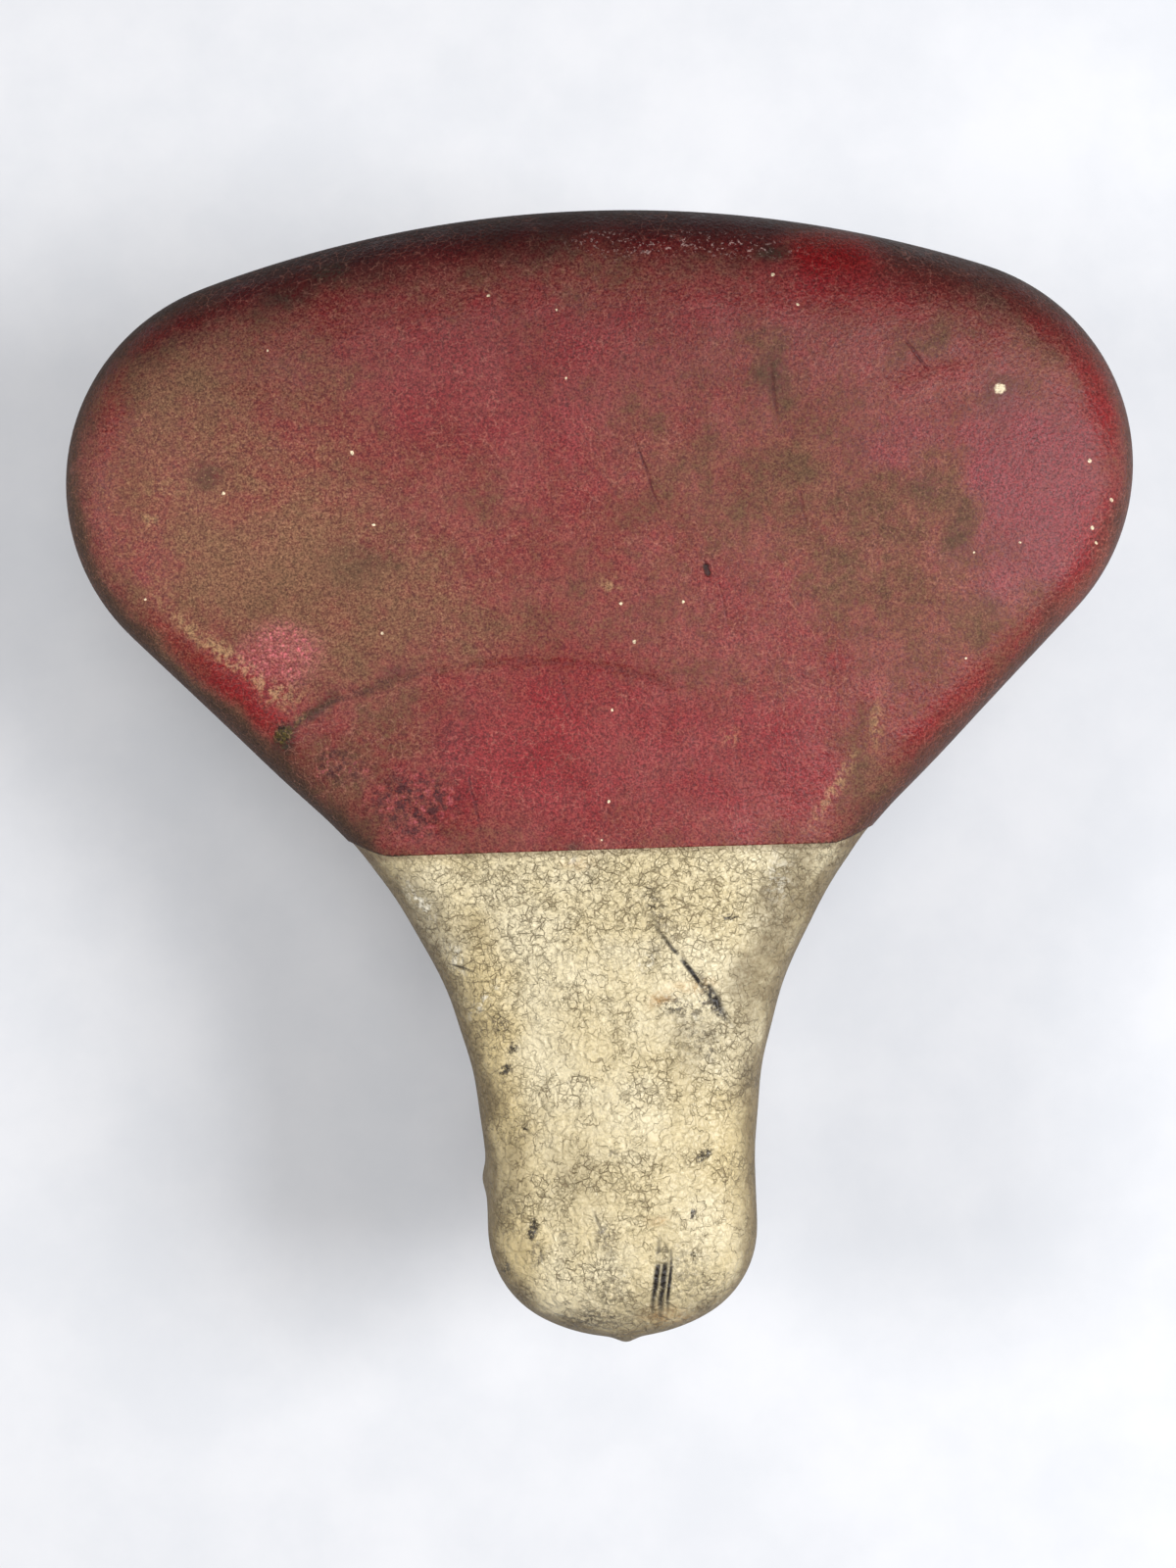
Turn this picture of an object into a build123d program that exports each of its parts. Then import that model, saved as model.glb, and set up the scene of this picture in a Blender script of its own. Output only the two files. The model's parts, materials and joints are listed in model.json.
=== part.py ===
"""Two-tone sprung bicycle saddle with a wire undercarriage and a seat-post clamp.

Millimetres. +Z is up, the nose points along -Y, and the saddle is symmetric about X = 0.
The origin is on the seat post's axis, level with the clamp's cross bolt.
"""

import os
from math import acos, asin, atan2, cos, degrees, hypot, pi, radians, sin, sqrt, tan

from build123d import *

os.makedirs("parts", exist_ok=True)

# ---------------------------------------------------------------- driving dimensions
# plan outline of the padded seat
SADDLE_LENGTH = 242.0
SADDLE_WIDTH = 230.0
NOSE_AHEAD = 120.0  # nose tip to the seat post's axis
NOSE_WIDTH = 59.2
NOSE_STRAIGHT_START = 35.5  # nose tip to where the waist's curve begins
NOSE_FRONT_RADIUS = 38.0
NOSE_CORNER_RADIUS = 22.0
REAR_RADIUS = 280.0
WING_RADIUS = 45.5
WAIST_FILL = 0.85  # waist radius over the largest that still leaves a straight flank

# seat surface
PAD_DEPTH = 29.0  # pan to the lowest point of the seat's centre line
DIP_BEHIND_NOSE = 75.0  # nose tip to that lowest point
DIP_RADIUS = 900.0
CROWN_RADIUS = 700.0
SHOULDER_RADIUS = 13.0
TUCK_RADIUS = 6.0

# cover, padding and hem
COVER_THICKNESS = 1.4
SEAM_BEHIND_NOSE = 105.0
SIDE_PADDING = 4.0
SOFT_GAP = 0.2
HEM_WIDTH = 12.0
HEM_WIRE_RADIUS = 1.2
CLIP_WIDTH = 9.0
CLIP_THICKNESS = 0.8
CLIP_GAP = 0.5

# pressed steel pan
PAN_THICKNESS = 1.2
PAN_RIM_DEPTH = 8.0
PAN_EDGE_RADIUS = 5.0
RIB_HEIGHT = 1.5
RIB_WIDTH = 10.0
RIB_LENGTH = 50.0
RIB_SPACING = 62.0
RIB_TO_BRIDGE = 6.0
PAN_HOLE_RADIUS = 9.0

# seat-post clamp
POST_RADIUS = 11.1
BAND_THICKNESS = 2.4
BAND_HEIGHT = 32.0
BOLT_RADIUS = 4.0
BOLT_BEHIND_POST = 16.0
GRIP_RADIUS = 15.0
GRIP_TOOTH_COUNT = 24
TOOTH_DEPTH = 0.7
TOOTH_INNER_RADIUS = 7.5
GRIP_OUTER_THICKNESS = 6.0
GRIP_GAP = 0.6  # between the two grips of a side, so that they bite on the rail
SLACK = 0.2  # between clamp faces that turn on each other
RUNNING_CLEARANCE = 0.08
WASHER_RADIUS = 8.5
WASHER_THICKNESS = 1.6
NUT_ACROSS_FLATS = 13.0
NUT_HEIGHT = 6.5
THREAD_STICKOUT = 2.5

# wire undercarriage
RAIL_RADIUS = 3.5
RAIL_SPACING = 44.0
RAIL_WEB = 2.0  # steel between the cross bolt and a rail
NOSE_RAIL_SPACING = 38.0
PIVOT_BEHIND_NOSE = 30.0
PIVOT_DROP = 17.8  # pan to the nose pivot's axis
NOSE_BEND_RADIUS = 9.0
FRONT_BEND_RADIUS = 25.0
FRONT_BEND_Y = -16.0
REAR_BEND_RADIUS = 12.0
REAR_BEND_Y = 47.0
EYE_RADIUS = 8.2  # centreline of the loop round each spring bolt
EYE_TURN = 300.0
TIE_THICKNESS = 2.0
TIE_WIDTH = 20.0

# springs and their seats
SPRING_SPACING = 100.0
SPRING_AHEAD_OF_REAR = 46.0
SPRING_LENGTH = 44.0
SPRING_OUTER_RADIUS = 18.0
SPRING_WIRE_RADIUS = 2.1
SPRING_ACTIVE_TURNS = 3.5
CUP_THICKNESS = 1.4
CUP_RIM_HEIGHT = 5.0
CUP_CLEARANCE = 0.3
CUP_RIVET_RADIUS = 3.5

# rear bridge, nose bracket and rivets
BRIDGE_THICKNESS = 2.0
BRIDGE_WIDTH = 34.0
BRIDGE_RIVET_SPACING = 36.0
BRACKET_THICKNESS = 2.0
BRACKET_WIDTH = 18.0
BRACKET_LENGTH = 34.0
BRACKET_RIVET_SPACING = 12.0
EYE_SLIT = 0.8
GUSSET_WIDTH = 4.0
RIVET_RADIUS = 2.5
RIVET_HEAD_RADIUS = 4.4
RIVET_HEAD_HEIGHT = 2.0
RIVET_TAIL_HEIGHT = 1.2
DOME_SHARE = 0.9  # rounding of a rivet head over its height
HOLE_CLEARANCE = 0.1
POCKET_CLEARANCE = 0.8

# ---------------------------------------------------------------- places worked out from them
nose_y = -NOSE_AHEAD
rear_y = nose_y + SADDLE_LENGTH
seam_y = nose_y + SEAM_BEHIND_NOSE
pivot_y = nose_y + PIVOT_BEHIND_NOSE
bolt_y = BOLT_BEHIND_POST
spring_y = rear_y - SPRING_AHEAD_OF_REAR
spring_x = SPRING_SPACING / 2
rail_x = RAIL_SPACING / 2
nose_rail_x = NOSE_RAIL_SPACING / 2

base_z = -BAND_HEIGHT / 2
rail_z = -(BOLT_RADIUS + RAIL_WEB + RAIL_RADIUS)
foot_height = rail_z - RAIL_RADIUS - base_z
tie_z = rail_z + RAIL_RADIUS
lower_cup_z = tie_z + TIE_THICKNESS
spring_z = lower_cup_z + CUP_THICKNESS
upper_cup_z = spring_z + SPRING_LENGTH
bridge_z = upper_cup_z + CUP_THICKNESS
pan_z = bridge_z + BRIDGE_THICKNESS
pan_top_z = pan_z + PAN_THICKNESS
rim_z = pan_z - PAN_RIM_DEPTH
hem_z = rim_z - SOFT_GAP - COVER_THICKNESS
dip_z = pan_top_z + PAD_DEPTH
dip_y = nose_y + DIP_BEHIND_NOSE
pivot_z = pan_z - PIVOT_DROP
eye_bore = RAIL_RADIUS + RUNNING_CLEARANCE
web_y = pivot_y + eye_bore

pan_inset = COVER_THICKNESS + SOFT_GAP + SIDE_PADDING + SOFT_GAP
inner_grip_x = POST_RADIUS + BAND_THICKNESS + SLACK
inner_grip_thickness = rail_x - GRIP_GAP / 2 - inner_grip_x
outer_grip_x = rail_x + GRIP_GAP / 2
washer_x = outer_grip_x + GRIP_OUTER_THICKNESS + SLACK
nut_x = washer_x + WASHER_THICKNESS
bolt_half_length = nut_x + NUT_HEIGHT + THREAD_STICKOUT
cup_radius = SPRING_OUTER_RADIUS + CUP_CLEARANCE + CUP_THICKNESS


def save(piece, name):
    """Labels a finished piece and writes its STEP file."""
    piece.part.label = name
    export_step(piece.part, f"parts/{name}.step")


# ---------------------------------------------------------------- plan outline
def outline_arcs():
    """Centres, radii and angles of the half outline's tangent arcs, from the rear to the nose."""
    nose_half = NOSE_WIDTH / 2
    rear_centre_y = rear_y - REAR_RADIUS
    wing_x = SADDLE_WIDTH / 2 - WING_RADIUS
    wing_y = rear_centre_y + sqrt((REAR_RADIUS - WING_RADIUS) ** 2 - wing_x**2)
    waist_y = nose_y + NOSE_STRAIGHT_START
    reach = wing_x - nose_half
    drop = wing_y - waist_y
    largest = (reach**2 + drop**2 - WING_RADIUS**2) / (2 * (reach + WING_RADIUS))
    waist_radius = WAIST_FILL * largest
    waist_x = nose_half + waist_radius
    apart = hypot(waist_x - wing_x, drop)
    towards = atan2(-drop, waist_x - wing_x)
    flank = degrees(towards + acos((WING_RADIUS + waist_radius) / apart))
    front_centre_y = nose_y + NOSE_FRONT_RADIUS
    corner_x = nose_half - NOSE_CORNER_RADIUS
    corner_y = front_centre_y - sqrt((NOSE_FRONT_RADIUS - NOSE_CORNER_RADIUS) ** 2 - corner_x**2)
    return {
        "rear_centre": (0, rear_centre_y),
        "rear_angle": degrees(atan2(wing_y - rear_centre_y, wing_x)),
        "wing_centre": (wing_x, wing_y),
        "flank_angle": flank,
        "waist_centre": (waist_x, waist_y),
        "waist_radius": waist_radius,
        "corner_centre": (corner_x, corner_y),
        "front_centre": (0, front_centre_y),
        "front_angle": degrees(atan2(corner_y - front_centre_y, corner_x)),
    }


def half_outline(inset):
    """Adds the lines and arcs of the right-hand half to the line being built."""
    a = outline_arcs()
    rear = CenterArc(a["rear_centre"], REAR_RADIUS - inset, 90, a["rear_angle"] - 90)
    turn = a["flank_angle"] - a["rear_angle"]
    wing = CenterArc(a["wing_centre"], WING_RADIUS - inset, a["rear_angle"], turn)
    start = a["flank_angle"] + 180
    waist = CenterArc(a["waist_centre"], a["waist_radius"] + inset, start, 180 - start)
    flank = Line(wing @ 1, waist @ 0)
    corner = CenterArc(a["corner_centre"], NOSE_CORNER_RADIUS - inset, 0, a["front_angle"])
    side = Line(waist @ 1, corner @ 0)
    last = -90 - a["front_angle"]
    front = CenterArc(a["front_centre"], NOSE_FRONT_RADIUS - inset, a["front_angle"], last)
    return [rear, wing, flank, waist, side, corner, front]


def outline(inset):
    """The whole outline's face, a parallel curve at inset inside the cover's skin."""
    with BuildSketch() as plan:
        with BuildLine():
            half_outline(inset)
            mirror(about=Plane.YZ)
        make_face()
    return plan.sketch


def outline_wire(inset, height):
    """The whole outline as a closed wire at a height."""
    return Pos(0, 0, height) * outline(inset).faces()[0].outer_wire()


# ---------------------------------------------------------------- seat form
def under_seat_surface(inset):
    """Everything below the seat's top: dished along the length, crowned across the width."""
    sweep_angle = 28.0
    start = radians(-sweep_angle / 2)
    side = SADDLE_WIDTH / 2 + 20
    crown = CROWN_RADIUS - inset
    crown_y = DIP_RADIUS + CROWN_RADIUS
    edge_y = crown_y - sqrt(crown**2 - side**2)
    floor_y = DIP_RADIUS + dip_z
    turning = Plane(
        origin=(0, dip_y, dip_z + DIP_RADIUS),
        x_dir=(1, 0, 0),
        z_dir=(0, cos(start), sin(start)),
    )
    with BuildPart() as block:
        with BuildSketch(turning):
            with BuildLine():
                ThreePointArc((-side, edge_y), (0, crown_y - crown), (side, edge_y))
                Polyline((side, edge_y), (side, floor_y), (-side, floor_y), (-side, edge_y))
            make_face()
        revolve(axis=Axis(turning.origin, (1, 0, 0)), revolution_arc=sweep_angle)
    return block.part


def seat_form(inset, bottom):
    """The padded seat as one round-edged solid, inset inside the cover's skin."""
    surface = under_seat_surface(inset)
    with BuildPart() as form:
        with BuildSketch(Plane.XY.offset(bottom)):
            add(outline(inset))
        extrude(amount=dip_z + 60 - bottom)
        add(surface, mode=Mode.INTERSECT)
        fillet(form.faces().sort_by(Axis.Z)[-1].edges(), SHOULDER_RADIUS - inset)
        fillet(form.faces().sort_by(Axis.Z)[0].edges(), TUCK_RADIUS - inset)
    return form.part


def rivet_places():
    """Where the small rivets pass the pan: four in the bridge, two in the nose bracket."""
    span = BRIDGE_RIVET_SPACING / 2
    across = BRIDGE_WIDTH / 4
    bridge = [(x, spring_y + y) for x in (-span, span) for y in (-across, across)]
    first = web_y + BRACKET_LENGTH - BRACKET_RIVET_SPACING / 2
    nose = [(0, first), (0, first - BRACKET_RIVET_SPACING)]
    return bridge, nose


bridge_rivets, nose_rivets = rivet_places()
spring_places = [(-spring_x, spring_y), (spring_x, spring_y)]

# ---------------------------------------------------------------- cover
outer_form = seat_form(0, hem_z)
inner_form = seat_form(COVER_THICKNESS, hem_z + COVER_THICKNESS)

with BuildPart() as cover:
    add(outer_form)
    add(inner_form, mode=Mode.SUBTRACT)
    with BuildSketch(Plane.XY.offset(hem_z)):
        add(outline(pan_inset + HEM_WIDTH))
    extrude(amount=COVER_THICKNESS, mode=Mode.SUBTRACT)

seam_plane = Plane(origin=(0, seam_y, 0), z_dir=(0, 1, 0))

with BuildPart() as red_cover:
    add(cover.part)
    split(bisect_by=seam_plane, keep=Keep.TOP)
save(red_cover, "cover_rear_panel")

with BuildPart() as cream_cover:
    add(cover.part)
    split(bisect_by=seam_plane, keep=Keep.BOTTOM)
save(cream_cover, "cover_nose_panel")

# ---------------------------------------------------------------- padding
with BuildPart() as padding:
    add(seat_form(COVER_THICKNESS + SOFT_GAP, rim_z))
    with BuildSketch(Plane.XY.offset(rim_z)):
        add(outline(pan_inset - SOFT_GAP))
    extrude(amount=pan_top_z - rim_z, mode=Mode.SUBTRACT)
    with BuildSketch(Plane.XY.offset(pan_top_z)):
        with Locations(*bridge_rivets, *nose_rivets):
            Circle(RIVET_HEAD_RADIUS + POCKET_CLEARANCE)
        with Locations(*spring_places):
            Circle(2 * CUP_RIVET_RADIUS + POCKET_CLEARANCE)
    extrude(amount=RIVET_TAIL_HEIGHT + POCKET_CLEARANCE, mode=Mode.SUBTRACT)
save(padding, "foam_padding")


# ---------------------------------------------------------------- pan
def dish(inset, bottom, top, edge_radius):
    """A solid of the outline's shape with a round upper edge."""
    with BuildPart() as form:
        with BuildSketch(Plane.XY.offset(bottom)):
            add(outline(inset))
        extrude(amount=top - bottom)
        fillet(form.faces().sort_by(Axis.Z)[-1].edges(), edge_radius)
    return form.part


rib_y = spring_y - BRIDGE_WIDTH / 2 - RIB_TO_BRIDGE - RIB_LENGTH / 2
pan_hole_y = (seam_y + pivot_y + BRACKET_LENGTH) / 2

with BuildPart() as pan:
    add(dish(pan_inset, rim_z, pan_top_z, PAN_EDGE_RADIUS))
    hollow = dish(pan_inset + PAN_THICKNESS, rim_z, pan_z, PAN_EDGE_RADIUS - PAN_THICKNESS)
    add(hollow, mode=Mode.SUBTRACT)
    with BuildSketch(Plane.XY.offset(pan_z - RIB_HEIGHT)):
        with Locations((-RIB_SPACING / 2, rib_y), (RIB_SPACING / 2, rib_y)):
            SlotOverall(RIB_LENGTH, RIB_WIDTH, rotation=90)
    extrude(amount=RIB_HEIGHT + PAN_THICKNESS)
    with BuildSketch(Plane.XY.offset(pan_top_z - RIB_HEIGHT)):
        with Locations((-RIB_SPACING / 2, rib_y), (RIB_SPACING / 2, rib_y)):
            SlotOverall(RIB_LENGTH - 2 * PAN_THICKNESS, RIB_WIDTH - 2 * PAN_THICKNESS, rotation=90)
    extrude(amount=RIB_HEIGHT, mode=Mode.SUBTRACT)
    with BuildSketch(Plane.XY.offset(pan_z)):
        with Locations(*bridge_rivets, *nose_rivets):
            Circle(RIVET_RADIUS + HOLE_CLEARANCE)
        with Locations(*spring_places):
            Circle(CUP_RIVET_RADIUS + HOLE_CLEARANCE)
        with Locations((0, pan_hole_y), (0, rib_y)):
            Circle(PAN_HOLE_RADIUS)
    extrude(amount=PAN_THICKNESS, mode=Mode.SUBTRACT)
save(pan, "steel_pan")

# ---------------------------------------------------------------- hem wire and clips
hem_wire_inset = pan_inset + PAN_THICKNESS + 2 * HEM_WIRE_RADIUS
hem_wire_path = outline_wire(hem_wire_inset, hem_z + COVER_THICKNESS + HEM_WIRE_RADIUS)

with BuildPart() as hem_wire:
    with BuildSketch(Plane(origin=hem_wire_path @ 0, z_dir=hem_wire_path % 0)):
        Circle(HEM_WIRE_RADIUS)
    sweep(path=hem_wire_path)
save(hem_wire, "hem_wire")

clip_inset = pan_inset + HEM_WIDTH + CLIP_GAP
clip_reach = HEM_WIDTH - 2 * HEM_WIRE_RADIUS

with BuildLine() as clip_line:
    rear, wing, flank, waist, side_line = half_outline(clip_inset)[:5]

clip_stations = [
    (rear, 0.3),
    (rear, 0.85),
    (wing, 0.5),
    (flank, 0.5),
    (waist, 0.35),
    (waist, 0.75),
    (side_line, 0.5),
]

with BuildPart() as hem_clips:
    for line, share in clip_stations:
        along = line % share
        inward = along.cross(Vector(0, 0, 1))
        with BuildSketch(Plane(origin=line @ share, x_dir=inward, z_dir=-along)):
            with BuildLine():
                Polyline(
                    (0, pan_z),
                    (CLIP_THICKNESS, pan_z),
                    (CLIP_THICKNESS, hem_z - CLIP_THICKNESS),
                    (-clip_reach, hem_z - CLIP_THICKNESS),
                    (-clip_reach, hem_z),
                    (0, hem_z),
                    close=True,
                )
            make_face()
        extrude(amount=CLIP_WIDTH / 2, both=True)
    mirror(about=Plane.YZ)
save(hem_clips, "hem_clips")

# ---------------------------------------------------------------- rear bridge
with BuildPart() as bridge:
    with BuildSketch(Plane.XY.offset(bridge_z)):
        with Locations((0, spring_y)):
            SlotCenterToCenter(SPRING_SPACING, BRIDGE_WIDTH)
        with Locations(*bridge_rivets):
            Circle(RIVET_RADIUS + HOLE_CLEARANCE, mode=Mode.SUBTRACT)
        with Locations(*spring_places):
            Circle(CUP_RIVET_RADIUS + HOLE_CLEARANCE, mode=Mode.SUBTRACT)
    extrude(amount=BRIDGE_THICKNESS)
save(bridge, "rear_bridge")


# ---------------------------------------------------------------- rivets
def rivet_group(places, shank, head, head_height, tail_height, low, high):
    """Rivets with a domed head under low and a flat tail of the same radius on high."""
    with BuildPart() as group:
        for x, y in places:
            with BuildSketch(Plane(origin=(x, y, low), z_dir=(0, 0, -1))):
                Circle(head)
            dome = extrude(amount=head_height)
            fillet(dome.faces().sort_by(Axis.Z)[0].edges(), head_height * DOME_SHARE)
            with BuildSketch(Plane.XY.offset(low)):
                with Locations((x, y)):
                    Circle(shank)
            extrude(amount=high - low)
            with BuildSketch(Plane.XY.offset(high)):
                with Locations((x, y)):
                    Circle(head)
            extrude(amount=tail_height)
    return group


head_size = (RIVET_RADIUS, RIVET_HEAD_RADIUS, RIVET_HEAD_HEIGHT, RIVET_TAIL_HEIGHT)
cup_head_size = (CUP_RIVET_RADIUS, 2 * CUP_RIVET_RADIUS, CUP_RIVET_RADIUS, RIVET_TAIL_HEIGHT)
save(rivet_group(bridge_rivets, *head_size, bridge_z, pan_top_z), "bridge_rivets")
save(rivet_group(nose_rivets, *head_size, pan_z - BRACKET_THICKNESS, pan_top_z), "nose_rivets")
save(rivet_group(spring_places, *cup_head_size, upper_cup_z, pan_top_z), "upper_cup_rivets")

# ---------------------------------------------------------------- nose bracket
eye_outer = eye_bore + BRACKET_THICKNESS
bracket_plane = Plane(origin=(0, 0, 0), x_dir=(0, 1, 0), z_dir=(1, 0, 0))

with BuildPart() as nose_bracket:
    with BuildSketch(bracket_plane):
        with Locations((pivot_y, pivot_z)):
            Circle(eye_outer)
        with Locations((web_y + BRACKET_THICKNESS / 2, (pivot_z + pan_z) / 2)):
            Rectangle(BRACKET_THICKNESS, pan_z - pivot_z)
        with Locations((web_y + BRACKET_LENGTH / 2, pan_z - BRACKET_THICKNESS / 2)):
            Rectangle(BRACKET_LENGTH, BRACKET_THICKNESS)
        with Locations((pivot_y, pivot_z)):
            Circle(eye_bore, mode=Mode.SUBTRACT)
        with Locations((pivot_y - eye_bore, pivot_z + eye_bore)):
            Rectangle(2 * EYE_SLIT, 3 * BRACKET_THICKNESS, rotation=45, mode=Mode.SUBTRACT)
    extrude(amount=BRACKET_WIDTH / 2, both=True)
    with BuildSketch(bracket_plane):
        corner = (web_y + BRACKET_THICKNESS, pan_z - BRACKET_THICKNESS)
        gusset = BRACKET_LENGTH / 4
        with BuildLine():
            Polyline(corner, (corner[0] + gusset, corner[1]), (corner[0], corner[1] - gusset), close=True)
        make_face()
    extrude(amount=GUSSET_WIDTH / 2, both=True)
    with BuildSketch(Plane.XY.offset(pan_z - BRACKET_THICKNESS)):
        with Locations(*nose_rivets):
            Circle(RIVET_RADIUS + HOLE_CLEARANCE)
    extrude(amount=BRACKET_THICKNESS, mode=Mode.SUBTRACT)
save(nose_bracket, "nose_bracket")


# ---------------------------------------------------------------- springs and cups
def cup(x, base, rim_direction, hole):
    """Pressed cup that holds a spring's end coil; its rim stands up (+1) or hangs down (-1)."""
    floor_bottom = base
    rim = CUP_THICKNESS + CUP_RIM_HEIGHT
    rim_bottom = base if rim_direction > 0 else base + CUP_THICKNESS - rim
    cavity = base + CUP_THICKNESS if rim_direction > 0 else rim_bottom
    with BuildPart() as pressed:
        with BuildSketch(Plane.XY.offset(rim_bottom)):
            with Locations((x, spring_y)):
                Circle(cup_radius)
        extrude(amount=rim)
        closed_end = pressed.faces().sort_by(Axis.Z)[0 if rim_direction > 0 else -1]
        fillet(closed_end.edges(), CUP_THICKNESS)
        with BuildSketch(Plane.XY.offset(cavity)):
            with Locations((x, spring_y)):
                Circle(cup_radius - CUP_THICKNESS)
        extrude(amount=CUP_RIM_HEIGHT, mode=Mode.SUBTRACT)
        with BuildSketch(Plane.XY.offset(floor_bottom)):
            with Locations((x, spring_y)):
                Circle(hole)
        extrude(amount=CUP_THICKNESS, mode=Mode.SUBTRACT)
    return pressed


def coil_spring(x):
    """Compression spring with a closed turn at each end, standing in its lower cup."""
    mean_radius = SPRING_OUTER_RADIUS - SPRING_WIRE_RADIUS
    wire = 2 * SPRING_WIRE_RADIUS
    closed = wire * 1.02
    active = SPRING_LENGTH - wire - 2 * closed
    start = spring_z + SPRING_WIRE_RADIUS
    with BuildPart() as spring:
        with BuildLine() as path:
            low = Helix(closed, closed, mean_radius, center=(x, spring_y, start))
            turned = 360 * SPRING_ACTIVE_TURNS
            middle = Helix(active / SPRING_ACTIVE_TURNS, active, mean_radius, mode=Mode.PRIVATE)
            middle = Pos(x, spring_y, start + closed) * middle
            add(middle)
            high = Helix(closed, closed, mean_radius, mode=Mode.PRIVATE)
            add(Pos(x, spring_y, start + closed + active) * Rot(0, 0, turned) * high)
        with BuildSketch(Plane(origin=low @ 0, z_dir=low % 0)):
            Circle(SPRING_WIRE_RADIUS)
        sweep(path=path.wires()[0], is_frenet=True)
    return spring


for side, x in (("left", -spring_x), ("right", spring_x)):
    save(cup(x, lower_cup_z, 1, BOLT_RADIUS + HOLE_CLEARANCE), f"lower_spring_cup_{side}")
    save(cup(x, upper_cup_z, -1, CUP_RIVET_RADIUS + HOLE_CLEARANCE), f"upper_spring_cup_{side}")
    save(coil_spring(x), f"coil_spring_{side}")

# ---------------------------------------------------------------- wire rails
bend = Vector(rail_x, REAR_BEND_Y, rail_z)
eye_centre = Vector(spring_x, spring_y, rail_z)
to_eye = eye_centre - bend
flare = atan2(to_eye.Y, to_eye.X) - asin(EYE_RADIUS / to_eye.length)
flare_length = sqrt(to_eye.length**2 - EYE_RADIUS**2)
eye_start = bend + Vector(cos(flare), sin(flare), 0) * flare_length

with BuildPart() as rails:
    with BuildLine() as rail_path:
        FilletPolyline(
            (0, pivot_y, pivot_z),
            (nose_rail_x, pivot_y, pivot_z),
            (rail_x, FRONT_BEND_Y, rail_z),
            (bend.X, bend.Y, bend.Z),
            (eye_start.X, eye_start.Y, eye_start.Z),
            radius=(NOSE_BEND_RADIUS, FRONT_BEND_RADIUS, REAR_BEND_RADIUS),
        )
        with Locations((eye_centre.X, eye_centre.Y, eye_centre.Z)):
            CenterArc((0, 0), EYE_RADIUS, degrees(flare) - 90, EYE_TURN)
    with BuildSketch(Plane(origin=(0, pivot_y, pivot_z), z_dir=(1, 0, 0))):
        Circle(RAIL_RADIUS)
    sweep(path=rail_path.wires()[0])
    mirror(about=Plane.YZ)
save(rails, "wire_rails")

with BuildPart() as tie:
    with BuildSketch(Plane.XY.offset(tie_z)):
        with Locations((0, spring_y)):
            SlotCenterToCenter(SPRING_SPACING, TIE_WIDTH)
        with Locations(*spring_places):
            Circle(BOLT_RADIUS + HOLE_CLEARANCE, mode=Mode.SUBTRACT)
    extrude(amount=TIE_THICKNESS)
save(tie, "rear_tie_bar")


# ---------------------------------------------------------------- hexagon fasteners
def hexagon(plane, height, bore=0.0):
    """A hexagon prism on a plane with its outer corners eased, bored if it is a nut."""
    corner_radius = NUT_ACROSS_FLATS / sqrt(3)
    ease = corner_radius - NUT_ACROSS_FLATS / 2
    outward = Axis(plane.origin, plane.z_dir)
    with BuildPart() as blank:
        with BuildSketch(plane):
            Circle(corner_radius)
        extrude(amount=height)
        chamfer(blank.faces().sort_by(outward)[-1].edges(), ease)
    with BuildPart() as block:
        with BuildSketch(plane):
            RegularPolygon(corner_radius, 6)
            if bore:
                Circle(bore, mode=Mode.SUBTRACT)
        extrude(amount=height)
        add(blank.part, mode=Mode.INTERSECT)
    return block.part


with BuildPart() as spring_bolts:
    for x, y in spring_places:
        add(hexagon(Plane(origin=(x, y, base_z + foot_height), z_dir=(0, 0, -1)), foot_height))
        with BuildSketch(Plane(origin=(x, y, base_z + foot_height))):
            Circle(BOLT_RADIUS)
        extrude(amount=spring_z + NUT_HEIGHT + THREAD_STICKOUT - base_z - foot_height)
save(spring_bolts, "lower_spring_bolts")

with BuildPart() as spring_nuts:
    for x, y in spring_places:
        nut = hexagon(Plane(origin=(x, y, spring_z)), NUT_HEIGHT, BOLT_RADIUS + RUNNING_CLEARANCE)
        add(nut)
save(spring_nuts, "lower_spring_nuts")


# ---------------------------------------------------------------- seat-post clamp
def across(x):
    """The plane square to the cross bolt at x, with its own x along Y and y along Z."""
    return Plane(origin=(x, bolt_y, 0), x_dir=(0, 1, 0), z_dir=(1, 0, 0))


def radial_grooves(face_x, direction):
    """V-shaped cuts that leave radial teeth on a face square to the cross bolt."""
    pitch = 2 * pi * GRIP_RADIUS / GRIP_TOOTH_COUNT
    length = GRIP_RADIUS + BAND_THICKNESS - TOOTH_INNER_RADIUS
    middle = TOOTH_INNER_RADIUS + length / 2
    with BuildPart() as cutter:
        with BuildSketch(Plane(origin=(0, TOOTH_INNER_RADIUS, 0), x_dir=(1, 0, 0), z_dir=(0, 1, 0))):
            with BuildLine():
                Polyline(
                    (0, -pitch / 4),
                    (0, pitch / 4),
                    (-direction * TOOTH_DEPTH, 0),
                    close=True,
                )
            make_face()
        extrude(amount=length)
    tooth = cutter.part
    grooves = [
        Pos(face_x, bolt_y, 0) * Rot(360 * index / GRIP_TOOTH_COUNT, 0, 0) * tooth
        for index in range(GRIP_TOOTH_COUNT)
    ]
    return grooves


band_outer = POST_RADIUS + BAND_THICKNESS

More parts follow.
